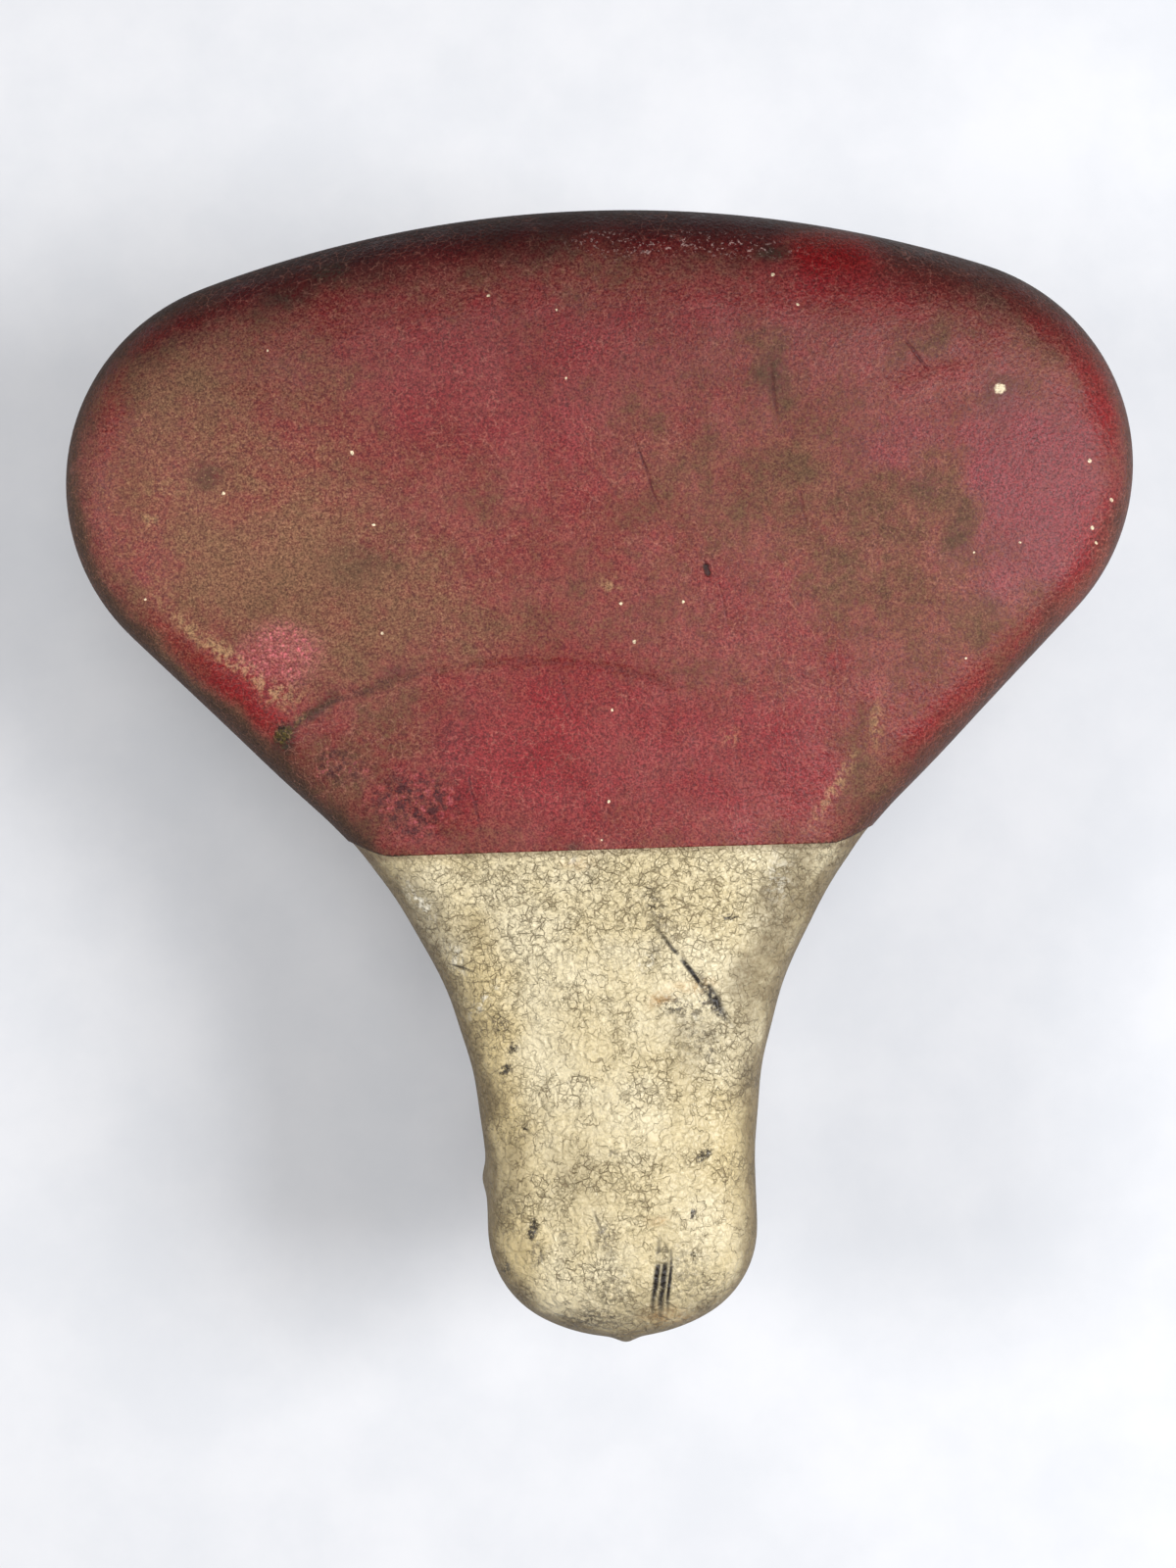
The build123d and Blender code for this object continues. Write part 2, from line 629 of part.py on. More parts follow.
with BuildPart() as band:
    with BuildSketch(Plane.XY.offset(base_z)):
        Circle(band_outer)
        with Locations((0, bolt_y)):
            Rectangle(2 * band_outer, 2 * bolt_y)
        with Locations((0, bolt_y + BAND_HEIGHT / 4)):
            Rectangle(2 * band_outer, BAND_HEIGHT / 2 + 2 * bolt_y - bolt_y)
        Circle(POST_RADIUS, mode=Mode.SUBTRACT)
        with Locations((0, bolt_y + BAND_HEIGHT)):
            Rectangle(2 * POST_RADIUS, 2 * (bolt_y + BAND_HEIGHT), mode=Mode.SUBTRACT)
    extrude(amount=BAND_HEIGHT)
    with BuildSketch(across(-band_outer)) as ear_side:
        Circle(BAND_HEIGHT / 2)
        with Locations((-(bolt_y + band_outer), 0)):
            Rectangle(2 * (bolt_y + band_outer), BAND_HEIGHT)
    extrude(amount=2 * band_outer, mode=Mode.INTERSECT)
    with BuildSketch(across(-band_outer)):
        Circle(BOLT_RADIUS + HOLE_CLEARANCE)
    extrude(amount=2 * band_outer, mode=Mode.SUBTRACT)
    add(radial_grooves(band_outer, 1), mode=Mode.SUBTRACT)
    add(radial_grooves(-band_outer, -1), mode=Mode.SUBTRACT)
save(band, "post_clamp_band")

with BuildPart() as cross_bolt:
    with BuildSketch(across(-bolt_half_length)):
        Circle(BOLT_RADIUS)
    extrude(amount=2 * bolt_half_length)
    chamfer(cross_bolt.faces().filter_by(Axis.X).edges(), BOLT_RADIUS / 4)
save(cross_bolt, "clamp_cross_bolt")


def grip(side, start, thickness, toothed):
    """One toothed or plain cheek on the cross bolt, with a rail groove above and below it."""
    first = start if side > 0 else -start - thickness
    with BuildPart() as cheek:
        with BuildSketch(across(first)):
            Circle(GRIP_RADIUS)
        extrude(amount=thickness)
        if not toothed:
            outer = cheek.faces().filter_by(Axis.X).sort_by(Axis.X)[-1 if side > 0 else 0]
            fillet(outer.edges(), thickness / 3)
        with BuildSketch(across(first)):
            Circle(BOLT_RADIUS + RUNNING_CLEARANCE)
        extrude(amount=thickness, mode=Mode.SUBTRACT)
        with BuildSketch(Plane(origin=(side * rail_x, bolt_y, 0), x_dir=(1, 0, 0), z_dir=(0, 1, 0))):
            with Locations((0, rail_z), (0, -rail_z)):
                Circle(RAIL_RADIUS + RUNNING_CLEARANCE)
        extrude(amount=2 * GRIP_RADIUS, both=True, mode=Mode.SUBTRACT)
        if toothed:
            add(radial_grooves(side * start, -side), mode=Mode.SUBTRACT)
    return cheek


for side, sign in (("left", -1), ("right", 1)):
    save(grip(sign, inner_grip_x, inner_grip_thickness, True), f"inner_rail_grip_{side}")
    save(grip(sign, outer_grip_x, GRIP_OUTER_THICKNESS, False), f"outer_rail_grip_{side}")

with BuildPart() as washers:
    for sign in (-1, 1):
        first = washer_x if sign > 0 else -nut_x
        with BuildSketch(across(first)):
            Circle(WASHER_RADIUS)
            Circle(BOLT_RADIUS + RUNNING_CLEARANCE, mode=Mode.SUBTRACT)
        extrude(amount=WASHER_THICKNESS)
save(washers, "clamp_washers")

with BuildPart() as nuts:
    for sign in (-1, 1):
        seat = Plane(origin=(sign * nut_x, bolt_y, 0), x_dir=(0, 1, 0), z_dir=(sign, 0, 0))
        add(hexagon(seat, NUT_HEIGHT, BOLT_RADIUS + RUNNING_CLEARANCE))
save(nuts, "clamp_nuts")
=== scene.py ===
"""Looks of the two-tone sprung saddle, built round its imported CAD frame.

Lengths in this script are in millimetres until a mesh is made; Blender itself works in metres.
The nose points along -Y and the seat-post axis is at the origin, as in the CAD.
"""

import json
from math import acos, atan2, cos, degrees, hypot, pi, radians, sin, sqrt

import bmesh
import bpy
import numpy as np
from mathutils import Matrix, Vector


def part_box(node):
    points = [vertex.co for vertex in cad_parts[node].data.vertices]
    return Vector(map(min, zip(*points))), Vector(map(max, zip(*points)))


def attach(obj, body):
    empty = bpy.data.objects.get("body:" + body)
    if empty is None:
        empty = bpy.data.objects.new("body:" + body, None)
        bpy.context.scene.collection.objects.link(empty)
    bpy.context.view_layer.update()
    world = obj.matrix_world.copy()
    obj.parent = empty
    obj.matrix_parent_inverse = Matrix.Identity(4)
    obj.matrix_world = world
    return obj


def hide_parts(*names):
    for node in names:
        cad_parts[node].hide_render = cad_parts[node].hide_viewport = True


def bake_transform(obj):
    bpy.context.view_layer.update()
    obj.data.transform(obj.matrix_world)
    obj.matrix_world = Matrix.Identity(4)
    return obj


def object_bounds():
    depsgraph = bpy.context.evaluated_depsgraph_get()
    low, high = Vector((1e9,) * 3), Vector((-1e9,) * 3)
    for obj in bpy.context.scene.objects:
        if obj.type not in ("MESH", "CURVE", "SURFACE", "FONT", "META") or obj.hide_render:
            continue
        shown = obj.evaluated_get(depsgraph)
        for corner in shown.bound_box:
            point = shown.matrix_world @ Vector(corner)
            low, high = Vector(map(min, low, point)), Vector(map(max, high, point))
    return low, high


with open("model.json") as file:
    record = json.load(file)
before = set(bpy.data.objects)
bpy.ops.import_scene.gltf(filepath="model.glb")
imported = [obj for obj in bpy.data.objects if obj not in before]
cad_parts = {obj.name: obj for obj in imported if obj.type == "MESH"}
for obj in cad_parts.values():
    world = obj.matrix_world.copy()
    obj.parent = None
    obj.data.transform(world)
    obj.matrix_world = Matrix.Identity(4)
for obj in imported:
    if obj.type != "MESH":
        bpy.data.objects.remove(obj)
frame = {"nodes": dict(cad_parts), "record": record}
cad_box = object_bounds()

MM = 0.001

# ---------------------------------------------------------------- sizes shared with the CAD
SADDLE_LENGTH = 242.0
SADDLE_WIDTH = 230.0
NOSE_Y = -120.0
NOSE_WIDTH = 59.2
NOSE_STRAIGHT_START = 35.5
NOSE_FRONT_RADIUS = 38.0
NOSE_CORNER_RADIUS = 22.0
REAR_RADIUS = 280.0
WING_RADIUS = 45.5
WAIST_FILL = 0.85
DIP_Y = -45.0
DIP_RADIUS = 900.0
CROWN_RADIUS = 700.0
SEAM_Y = -15.0
COVER_THICKNESS = 1.4
HEM_WIDTH = 12.0
PAN_INSET = 5.8
PAD_DEPTH = 29.0
REAR_Y = NOSE_Y + SADDLE_LENGTH


def node_box(name):
    """Lowest and highest corner of a CAD node, in millimetres."""
    low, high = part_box(name)
    return np.array(low) / MM, np.array(high) / MM


pan_low, pan_high = node_box("steel_pan")
RIM_Z = pan_low[2]
PAN_TOP_Z = pan_high[2]
HEM_Z = node_box("cover_rear_panel")[0][2]
DIP_Z = PAN_TOP_Z + PAD_DEPTH
FLOOR_Z = cad_box[0].z / MM


# ---------------------------------------------------------------- seat form
def smooth(low, high, value):
    """0 below low, 1 above high, an S curve between."""
    share = np.clip((np.asarray(value, float) - low) / (high - low), 0, 1)
    return share * share * (3 - 2 * share)


def outline_runs():
    """The half outline's arcs and lines from the rear's middle to the nose tip.

    An arc is (centre, radius, start angle, turn); a line is (start, end)."""
    half = NOSE_WIDTH / 2
    rear_centre = REAR_Y - REAR_RADIUS
    wing_x = SADDLE_WIDTH / 2 - WING_RADIUS
    wing_y = rear_centre + sqrt((REAR_RADIUS - WING_RADIUS) ** 2 - wing_x**2)
    waist_y = NOSE_Y + NOSE_STRAIGHT_START
    reach, drop = wing_x - half, wing_y - waist_y
    waist = WAIST_FILL * (reach**2 + drop**2 - WING_RADIUS**2) / (2 * (reach + WING_RADIUS))
    waist_x = half + waist
    towards = atan2(-drop, waist_x - wing_x)
    flank = towards + acos((WING_RADIUS + waist) / hypot(waist_x - wing_x, drop))
    front_centre = NOSE_Y + NOSE_FRONT_RADIUS
    corner_x = half - NOSE_CORNER_RADIUS
    corner_y = front_centre - sqrt((NOSE_FRONT_RADIUS - NOSE_CORNER_RADIUS) ** 2 - corner_x**2)
    rear_turn = atan2(wing_y - rear_centre, wing_x)
    front_turn = atan2(corner_y - front_centre, corner_x)
    flank_way = np.array([cos(flank), sin(flank)])
    flank_start = np.array([wing_x, wing_y]) + WING_RADIUS * flank_way
    flank_end = np.array([waist_x, waist_y]) - waist * flank_way
    return [
        ((0, rear_centre), REAR_RADIUS, pi / 2, rear_turn - pi / 2),
        ((wing_x, wing_y), WING_RADIUS, rear_turn, flank - rear_turn),
        (flank_start, flank_end),
        ((waist_x, waist_y), -waist, flank + pi, -flank),
        ((half, waist_y), (half, corner_y)),
        ((corner_x, corner_y), NOSE_CORNER_RADIUS, 0, front_turn),
        ((0, front_centre), NOSE_FRONT_RADIUS, front_turn, -pi / 2 - front_turn),
    ]


def outline(count):
    """Evenly spaced points round the whole outline and their outward normals, from the rear's middle."""
    points, normals = [], []
    for run in outline_runs():
        share = np.linspace(0, 1, 200, endpoint=False)[:, None]
        if len(run) == 4:
            centre, radius, start, turn = run
            angle = start + share * turn
            way = np.hstack([np.cos(angle), np.sin(angle)])
            points.append(np.array(centre) + abs(radius) * way)
            normals.append(way * np.sign(radius))
        else:
            start, end = np.array(run[0], float), np.array(run[1], float)
            way = (end - start) / np.linalg.norm(end - start)
            points.append(start + share * (end - start))
            normals.append(np.tile([-way[1], way[0]], (200, 1)))
    points = np.vstack(points + [[[0, NOSE_Y]]])
    normals = np.vstack(normals + [[[0, -1.0]]])
    walked = np.concatenate([[0], np.cumsum(np.linalg.norm(np.diff(points, axis=0), axis=1))])
    wanted = np.linspace(0, walked[-1], count // 2 + 1)
    right = np.column_stack([np.interp(wanted, walked, points[:, k]) for k in (0, 1)])
    out = np.column_stack([np.interp(wanted, walked, normals[:, k]) for k in (0, 1)])
    out /= np.linalg.norm(out, axis=1)[:, None]
    flip = np.array([-1, 1])
    return np.vstack([right, (right * flip)[-2:0:-1]]), np.vstack([out, (out * flip)[-2:0:-1]])


def top_height(x, y):
    """Height of the seat's upper surface: dished along, crowned across, the nose rounder and drooping."""
    dish = DIP_Z + DIP_RADIUS - np.sqrt(DIP_RADIUS**2 - (y - DIP_Y) ** 2)
    to_nose = 1 - smooth(NOSE_Y + 30, SEAM_Y + 20, y)
    crown = x**2 * (1 / (2 * CROWN_RADIUS) + to_nose / 260)
    nose_droop = 2.5 * (1 - smooth(NOSE_Y, NOSE_Y + 24, y))
    rear_droop = 3.5 * smooth(REAR_Y - 26, REAR_Y - 4, y)
    return dish - crown - nose_droop - rear_droop


SHOULDER_DOWN = 13.0
AROUND = 232


def shoulder_in(base):
    """How far in from the outline the shoulder starts at each point: wider round the rear."""
    return (14.0 + 9.0 * smooth(50, REAR_Y - 8, base[:, 1]))[:, None]


def ring(base, ways, inset, z):
    """One closed ring of points, parallel to the outline."""
    flat = base - ways * inset
    return np.column_stack([flat, np.broadcast_to(z, len(flat))])


def spine_blend(base, ways, inset, share):
    """A ring between the one at inset (share 0) and the saddle's centre line (share 1)."""
    flat = base - ways * inset
    back = (base[:, 1] - NOSE_Y) * (SADDLE_LENGTH - 63) / SADDLE_LENGTH
    centre = np.column_stack([np.zeros(len(base)), NOSE_Y + 25 + back])
    return flat * (1 - share) + centre * share


def seat_rings(skin):
    """Rings of the closed seat form, skin inside the cover's outer face, from the top's centre line down."""
    base, ways = outline(AROUND)
    shoulder = shoulder_in(base)
    rings = []
    for share in np.linspace(1, 0, 26):
        flat = spine_blend(base, ways, shoulder, share)
        rings.append(np.column_stack([flat, top_height(*flat.T) - skin]))
    edge = rings[-1][:, 2]
    for angle in np.linspace(0, pi / 2, 8)[1:]:
        inset = shoulder - (shoulder - skin) * sin(angle)
        rings.append(ring(base, ways, inset, edge - SHOULDER_DOWN * (1 - cos(angle))))
    wall_top = edge - SHOULDER_DOWN
    wall_bottom = HEM_Z + 6.0
    for share in np.linspace(0, 1, 9)[1:]:
        lean = skin + 2.2 * share**1.5
        rings.append(ring(base, ways, lean, wall_top + (wall_bottom - wall_top) * share))
    return base, ways, rings


def closed_form(skin):
    """The cover's closed form: seat rings, the tuck under the rim, the hem, and a flat underside."""
    base, ways, rings = seat_rings(skin)
    for angle in np.linspace(0, pi / 2, 5)[1:]:
        inset = skin + 2.2 + 6.0 * (1 - cos(angle))
        rings.append(ring(base, ways, inset, HEM_Z + 6.0 - 6.0 * sin(angle) + skin))
    hem_start = skin + 8.2
    for share in np.linspace(0, 1, 5)[1:]:
        inset = hem_start + (PAN_INSET + HEM_WIDTH - hem_start) * share
        rings.append(ring(base, ways, inset, HEM_Z + skin))
    for share in (0.3, 0.65, 1.0):
        flat = spine_blend(base, ways, PAN_INSET + HEM_WIDTH, share)
        rings.append(np.column_stack([flat, np.full(len(flat), HEM_Z + skin)]))
    return rings


def mesh_object(name, points, faces, smooth_faces=True):
    """A mesh object from points in millimetres."""
    mesh = bpy.data.meshes.new(name)
    mesh.from_pydata([tuple(p * MM) for p in points], [], [tuple(f) for f in faces])
    mesh.validate()
    if smooth_faces:
        mesh.shade_smooth()
    piece = bpy.data.objects.new(name, mesh)
    bpy.context.scene.collection.objects.link(piece)
    return piece


def loft(name, rings):
    """Quads between rings of equal count; points that fall together on the centre line are merged."""
    count = len(rings[0])
    faces = []
    for row in range(len(rings) - 1):
        for i in range(count):
            j = (i + 1) % count
            faces.append((row * count + j, row * count + i, (row + 1) * count + i, (row + 1) * count + j))
    piece = mesh_object(name, np.vstack(rings), faces)
    work = bmesh.new()
    work.from_mesh(piece.data)
    bmesh.ops.remove_doubles(work, verts=work.verts, dist=0.02 * MM)
    bmesh.ops.dissolve_degenerate(work, edges=work.edges, dist=0.001 * MM)
    bmesh.ops.recalc_face_normals(work, faces=work.faces)
    work.to_mesh(piece.data)
    work.free()
    piece.data.shade_smooth()
    return piece


def positions(mesh):
    """A mesh's points as an array, in metres."""
    points = np.empty(len(mesh.vertices) * 3)
    mesh.vertices.foreach_get("co", points)
    return points.reshape(-1, 3)


def set_positions(mesh, points):
    """Writes points, in metres, back to a mesh."""
    mesh.vertices.foreach_set("co", np.asarray(points, float).ravel())
    mesh.update()


def bake(piece):
    """Applies a piece's modifiers as they stand at the current frame."""
    graph = bpy.context.evaluated_depsgraph_get()
    shaped = bpy.data.meshes.new_from_object(piece.evaluated_get(graph))
    piece.modifiers.clear()
    old, piece.data = piece.data, shaped
    bpy.data.meshes.remove(old)


def normals_of(mesh):
    """A mesh's point normals as an array."""
    values = np.empty(len(mesh.vertices) * 3)
    mesh.vertices.foreach_get("normal", values)
    return values.reshape(-1, 3)


def swell(piece, pinned, pressure, cap):
    """Cloth simulation with air pressure inside: the skin pulls tight between its pinned points."""
    start = positions(piece.data)
    group = piece.vertex_groups.new(name="pin")
    group.add([int(i) for i in np.nonzero(pinned)[0]], 1.0, "REPLACE")
    modifier = piece.modifiers.new("Cloth", "CLOTH")
    cloth = modifier.settings
    cloth.quality = 6
    cloth.mass = 0.3
    cloth.tension_stiffness = 30
    cloth.compression_stiffness = 30
    cloth.shear_stiffness = 15
    cloth.bending_stiffness = 4
    cloth.use_pressure = True
    cloth.uniform_pressure_force = pressure
    cloth.vertex_group_mass = "pin"
    cloth.effector_weights.gravity = 0
    modifier.collision_settings.use_collision = False
    scene = bpy.context.scene
    scene.frame_start, scene.frame_end = 1, 20
    for step in range(1, 21):
        scene.frame_set(step)
    graph = bpy.context.evaluated_depsgraph_get()
    moved = positions(piece.evaluated_get(graph).data) - start
    piece.modifiers.clear()
    scene.frame_set(1)
    out = normals_of(piece.data)
    rise = np.sum(moved * out, axis=1)
    rise = np.where(rise > 0, rise, 0.15 * rise)
    limit = cap * MM
    rise = limit * np.tanh(rise / limit)
    set_positions(piece.data, start + out * rise[:, None])


# ---------------------------------------------------------------- cover
START_SKIN = 0.7  # how far inside the CAD outline the form starts
SIM_PRESSURE = 4.0
SIM_CAP = 1.6  # most that the simulation may move a point
WING_STRETCH = 0.011
LENGTH_SHARE = 0.994
RED_LIFT = 0.12  # the red panel stands proud at the seam, the cream one lies lower
CREAM_LIFT = -0.3
CREAM_OVERLAP = 5.0  # how far the cream panel runs under the red one
CREAM_THICKNESS = 0.8

cover = loft("cover_form", closed_form(START_SKIN))
low_part = positions(cover.data)[:, 2] / MM < HEM_Z + START_SKIN + 0.6
swell(cover, low_part, SIM_PRESSURE, SIM_CAP)

work = bmesh.new()
work.from_mesh(cover.data)
inner_hem = PAN_INSET + HEM_WIDTH
base, ways = outline(AROUND)


def hem_faces(mesh):
    """Faces of the flat underside inside the hem ring."""
    found = []
    for face in mesh.faces:
        middle = face.calc_center_median() / MM
        if middle.z > HEM_Z + START_SKIN + 0.3 or abs(face.normal.z) < 0.9:
            continue
        gap = np.min(np.hypot(base[:, 0] - middle.x, base[:, 1] - middle.y))
        if gap > inner_hem + 0.2:
            found.append(face)
    return found


bmesh.ops.delete(work, geom=hem_faces(work), context="FACES")
work.to_mesh(cover.data)
work.free()
modifier = cover.modifiers.new("Subdivision", "SUBSURF")
modifier.levels = modifier.render_levels = 2
bake(cover)

points = positions(cover.data) / MM
out = normals_of(cover.data)
x, y, z = points.T

ridge = 1.3 * np.exp(-((x / 2.4) ** 2)) * (1 - smooth(NOSE_Y + 6, NOSE_Y + 12, y))
ridge *= smooth(HEM_Z + 4, HEM_Z + 14, z) * (1 - smooth(DIP_Z - 14, DIP_Z - 4, z))
bump = 1.1 * np.exp(-(((y + 85) / 3.2) ** 2) - (((z - 58) / 4.5) ** 2)) * (x < -20)
folds = np.zeros(len(points))
for centre_y, height, size in ((-70, 0.35, 7), (-52, 0.3, 6), (-31, 0.4, 8), (4, 0.25, 9)):
    folds += height * np.exp(-(((y - centre_y + 0.25 * (z - 55)) / size) ** 2))
folds *= smooth(HEM_Z + 3, HEM_Z + 14, z) * (1 - smooth(DIP_Z - 14, DIP_Z - 3, z)) * (y < 20)
wing_x = SADDLE_WIDTH / 2 - WING_RADIUS
wing_angle = np.arctan2(y - 66, np.abs(x) - wing_x)
nose_angle = np.arctan2(np.abs(x), -(y - (NOSE_Y + 24)))
under = 1 - smooth(HEM_Z + 2.0, HEM_Z + 6.0, z)
wing_pleats = np.cos(wing_angle * 34 + 1.5 * np.sin(wing_angle * 5))
wing_pleats *= smooth(wing_x - 8, wing_x + 8, np.abs(x))
nose_pleats = np.cos(nose_angle * 11) * (1 - smooth(NOSE_Y + 20, NOSE_Y + 30, y))
pleats = 0.45 * under * (wing_pleats + nose_pleats)
points += out * (ridge + bump + folds + pleats)[:, None]
points[:, 0] *= 1 + WING_STRETCH * smooth(30, 85, np.abs(points[:, 0]))
points[:, 1] *= LENGTH_SHARE
set_positions(cover.data, points * MM)


def seam_line(x):
    """Where the seam runs: straight over the top, its ends turning up towards the rear on the sides."""
    return SEAM_Y + 4.5 * smooth(46, 60, np.abs(x))


def panel(name, sign, overlap, lift):
    """One cover panel: the form cut at the seam, kept on one side of it."""
    piece = bpy.data.objects.new(name, cover.data.copy())
    bpy.context.scene.collection.objects.link(piece)
    points = positions(piece.data) / MM
    shift = seam_line(points[:, 0]) - SEAM_Y
    points[:, 1] -= shift
    set_positions(piece.data, points * MM)
    work = bmesh.new()
    work.from_mesh(piece.data)
    bmesh.ops.bisect_plane(
        work,
        geom=work.verts[:] + work.edges[:] + work.faces[:],
        dist=0.01 * MM,
        plane_co=(0, (SEAM_Y + overlap) * MM, 0),
        plane_no=(0, sign, 0),
        clear_inner=True,
    )
    work.to_mesh(piece.data)
    work.free()
    points = positions(piece.data) / MM
    near = 1 - smooth(0.5, 5.0, sign * (points[:, 1] - SEAM_Y))
    out = normals_of(piece.data)
    points[:, 1] += seam_line(points[:, 0]) - SEAM_Y
    points += out * (near * lift)[:, None]
    set_positions(piece.data, points * MM)
    piece.data.shade_smooth()
    solid = piece.modifiers.new("Thickness", "SOLIDIFY")
    solid.thickness = COVER_THICKNESS * MM
    solid.offset = -1
    return piece


red_cover = panel("red_cover", 1, 0.0, RED_LIFT)
cream_cover = panel("cream_cover", -1, CREAM_OVERLAP, CREAM_LIFT)
cream_cover.modifiers["Thickness"].thickness = CREAM_THICKNESS * MM
bpy.data.objects.remove(cover)


# ---------------------------------------------------------------- where the cover is worn, clean or dirty, and where painted shade and highlights go
def mark(piece, name, waver, *ovals):
    """Stores a mask of soft ovals on a piece's points; each is x, y, length, width, turn, soft, strength.

    waver is how far, in millimetres, the ovals' outlines wander."""
    x, y = (positions(piece.data) / MM).T[:2]
    moved_x = x + waver * (0.6 * np.sin(0.17 * y + 0.09 * x + 1.3) + 0.4 * np.sin(0.53 * y - 0.31 * x + 0.4))
    moved_y = y + waver * (0.6 * np.sin(0.19 * x - 0.07 * y + 2.1) + 0.4 * np.sin(0.47 * x + 0.37 * y + 5.0))
    value = np.zeros(len(x))
    for centre_x, centre_y, length, width, turn, soft, strength in ovals:
        across, along = moved_x - centre_x, moved_y - centre_y
        c, s = cos(radians(turn)), sin(radians(turn))
        far = np.hypot((across * c + along * s) * 2 / length, (along * c - across * s) * 2 / width)
        value = np.maximum(value, strength * (1 - smooth(1 - soft, 1 + soft, far)))
    stored = piece.data.attributes.new(name, "FLOAT", "POINT")
    stored.data.foreach_set("value", value)


mark(
    red_cover,
    "rosy",
    1.5,
    (92, 56, 34, 44, 0, 0.35, 1.0),
    (62, 68, 28, 11, 4, 0.5, 0.7),
)
mark(
    red_cover,
    "deep",
    1.5,
    (49, 108, 19, 13, -5, 0.4, 1.0),
    (-83, 24, 38, 8, -42, 0.5, 0.8),
    (78, 19, 46, 8, 41, 0.6, 0.5),
    (-84, 101, 36, 7, 22, 0.5, 0.8),
    (-58, 110, 34, 8, 12, 0.5, 0.55),
    (-20, 113, 70, 9, 2, 0.6, 0.6),
    (20, 113, 50, 10, -3, 0.6, 0.65),
    (68, 106, 36, 10, -14, 0.6, 0.55),
    (97, 93, 32, 8, -38, 0.5, 0.65),
    (105, 76, 28, 7, -78, 0.5, 0.75),
    (103, 44, 28, 9, 66, 0.5, 0.6),
    (-103, 80, 22, 7, 75, 0.6, 0.35),
    (-16, 8, 40, 26, 20, 0.8, 0.35),
    (48, 100, 30, 12, 0, 0.8, 0.35),
)
mark(
    red_cover,
    "grimy",
    5,
    (-62, 46, 58, 38, 0, 0.7, 0.85),
    (-84, 72, 50, 40, 0, 0.8, 0.6),
    (-40, 58, 36, 30, 0, 0.8, 0.45),
    (-46, 31, 46, 18, 8, 0.7, 0.65),
    (60, 46, 54, 34, -25, 0.7, 0.75),
    (73, 52, 12, 24, 0, 0.6, 0.9),
    (48, 40, 18, 12, 0, 0.7, 0.8),
    (80, 33, 13, 11, 0, 0.6, 0.9),
    (15, 68, 22, 13, 0, 0.8, 0.55),
    (36, 86, 10, 28, 5, 0.7, 0.7),
    (28, 52, 34, 22, 0, 0.8, 0.4),
    (56, -5, 17, 24, -20, 0.6, 0.8),
    (-61, 0, 12, 32, 35, 0.6, 0.75),
    (70, 90, 11, 7, 0, 0.7, 0.6),
    (92, 90, 15, 11, -30, 0.7, 0.6),
    (-20, 106, 60, 12, 0, 0.8, 0.4),
    (-50, 9, 30, 14, 24, 0.7, 0.8),
    (86, 28, 34, 12, 41, 0.6, 0.6),
    (-94, 34, 30, 12, -42, 0.7, 0.5),
)
mark(
    red_cover,
    "clean",
    3.5,
    (-22, 82, 62, 34, 0, 0.7, 0.55),
    (-14, 6, 56, 34, 15, 0.6, 0.75),
    (24, 2, 60, 26, 0, 0.6, 0.7),
    (92, 56, 32, 42, 0, 0.3, 1.0),
    (62, 68, 26, 10, 5, 0.5, 0.6),
    (50, 104, 32, 18, 0, 0.6, 0.75),
    (28, 96, 18, 10, 0, 0.6, 0.45),
    (-70, 60, 24, 6, 0, 0.7, 0.3),
    (-93, 46, 16, 8, 20, 0.6, 0.4),
)
mark(
    red_cover,
    "dark",
    1.2,
    (-68, 11, 6, 4.5, 50, 0.5, 1.0),
    (-62, 16.5, 12, 3, 36, 0.6, 0.75),
    (-55, 107.5, 9, 5, 20, 0.5, 0.9),
    (-64, 103, 11, 5, 15, 0.7, 0.6),
    (37, 108.5, 7, 4, 10, 0.5, 0.85),
    (-83, 66, 7, 5, 0, 0.7, 0.6),
    (-43, 22.5, 7, 3, 15, 0.7, 0.5),
    (84.3, 78, 8, 7, 0, 0.9, 0.5),
    (36, 82, 7, 9, 0, 0.8, 0.45),
    (74, 48, 6, 10, 0, 0.8, 0.4),
    (-52, 47, 14, 9, 0, 0.8, 0.35),
    (-9, 110, 12, 7, 0, 0.8, 0.4),
    (-8, -13.5, 4, 2.5, 0, 0.6, 0.6),
    (82, 35, 4, 8, 10, 0.8, 0.4),
    (67, 59, 7, 5, 0, 0.8, 0.35),
)
mark(
    red_cover,
    "bruise",
    1.5,
    (-57, 4, 11, 7, -20, 0.6, 0.9),
    (-41, -4, 19, 13, 15, 0.6, 1.0),
    (-33, 8, 8, 20, -30, 0.8, 0.45),
)
mark(
    red_cover,
    "scuffed",
    0.8,
    (-80, 28, 34, 3.4, -42, 0.5, 0.8),
    (-69, 20, 8, 5, 0, 0.6, 0.75),
    (-95, 57, 3.5, 3, 0, 0.5, 0.8),
    (47, -4, 16, 2.6, 58, 0.6, 0.65),
    (57, 10, 9, 2.4, 80, 0.6, 0.5),
    (2, 40, 5, 3, 0, 0.7, 0.6),
    (25, 8, 4, 4, 0, 0.7, 0.4),
    (-92, 63, 8, 4, 0, 0.8, 0.4),
)
mark(
    red_cover,
    "pale",
    1,
    (20, 110, 42, 5, -1, 0.6, 0.9),
    (3, 112, 14, 4, 0, 0.6, 0.7),
)
# the glossy patch on the left flank, where red_vinyl paints a pink sheen
mark(red_cover, "shine", 1, (-68, 28, 17, 11, 8, 0.5, 1.0))
mark(
    red_cover,
    "dusted",
    5,
    (-78, 60, 64, 60, 0, 0.6, 0.9),
    (-50, 36, 50, 30, 0, 0.7, 0.6),
)
mark(
    cream_cover,
    "yellow",
    2,
    (-26, -58, 12, 50, 6, 0.7, 0.7),
    (-24, -100, 14, 20, 0, 0.7, 0.6),
    (26, -84, 12, 50, 0, 0.7, 0.4),
)
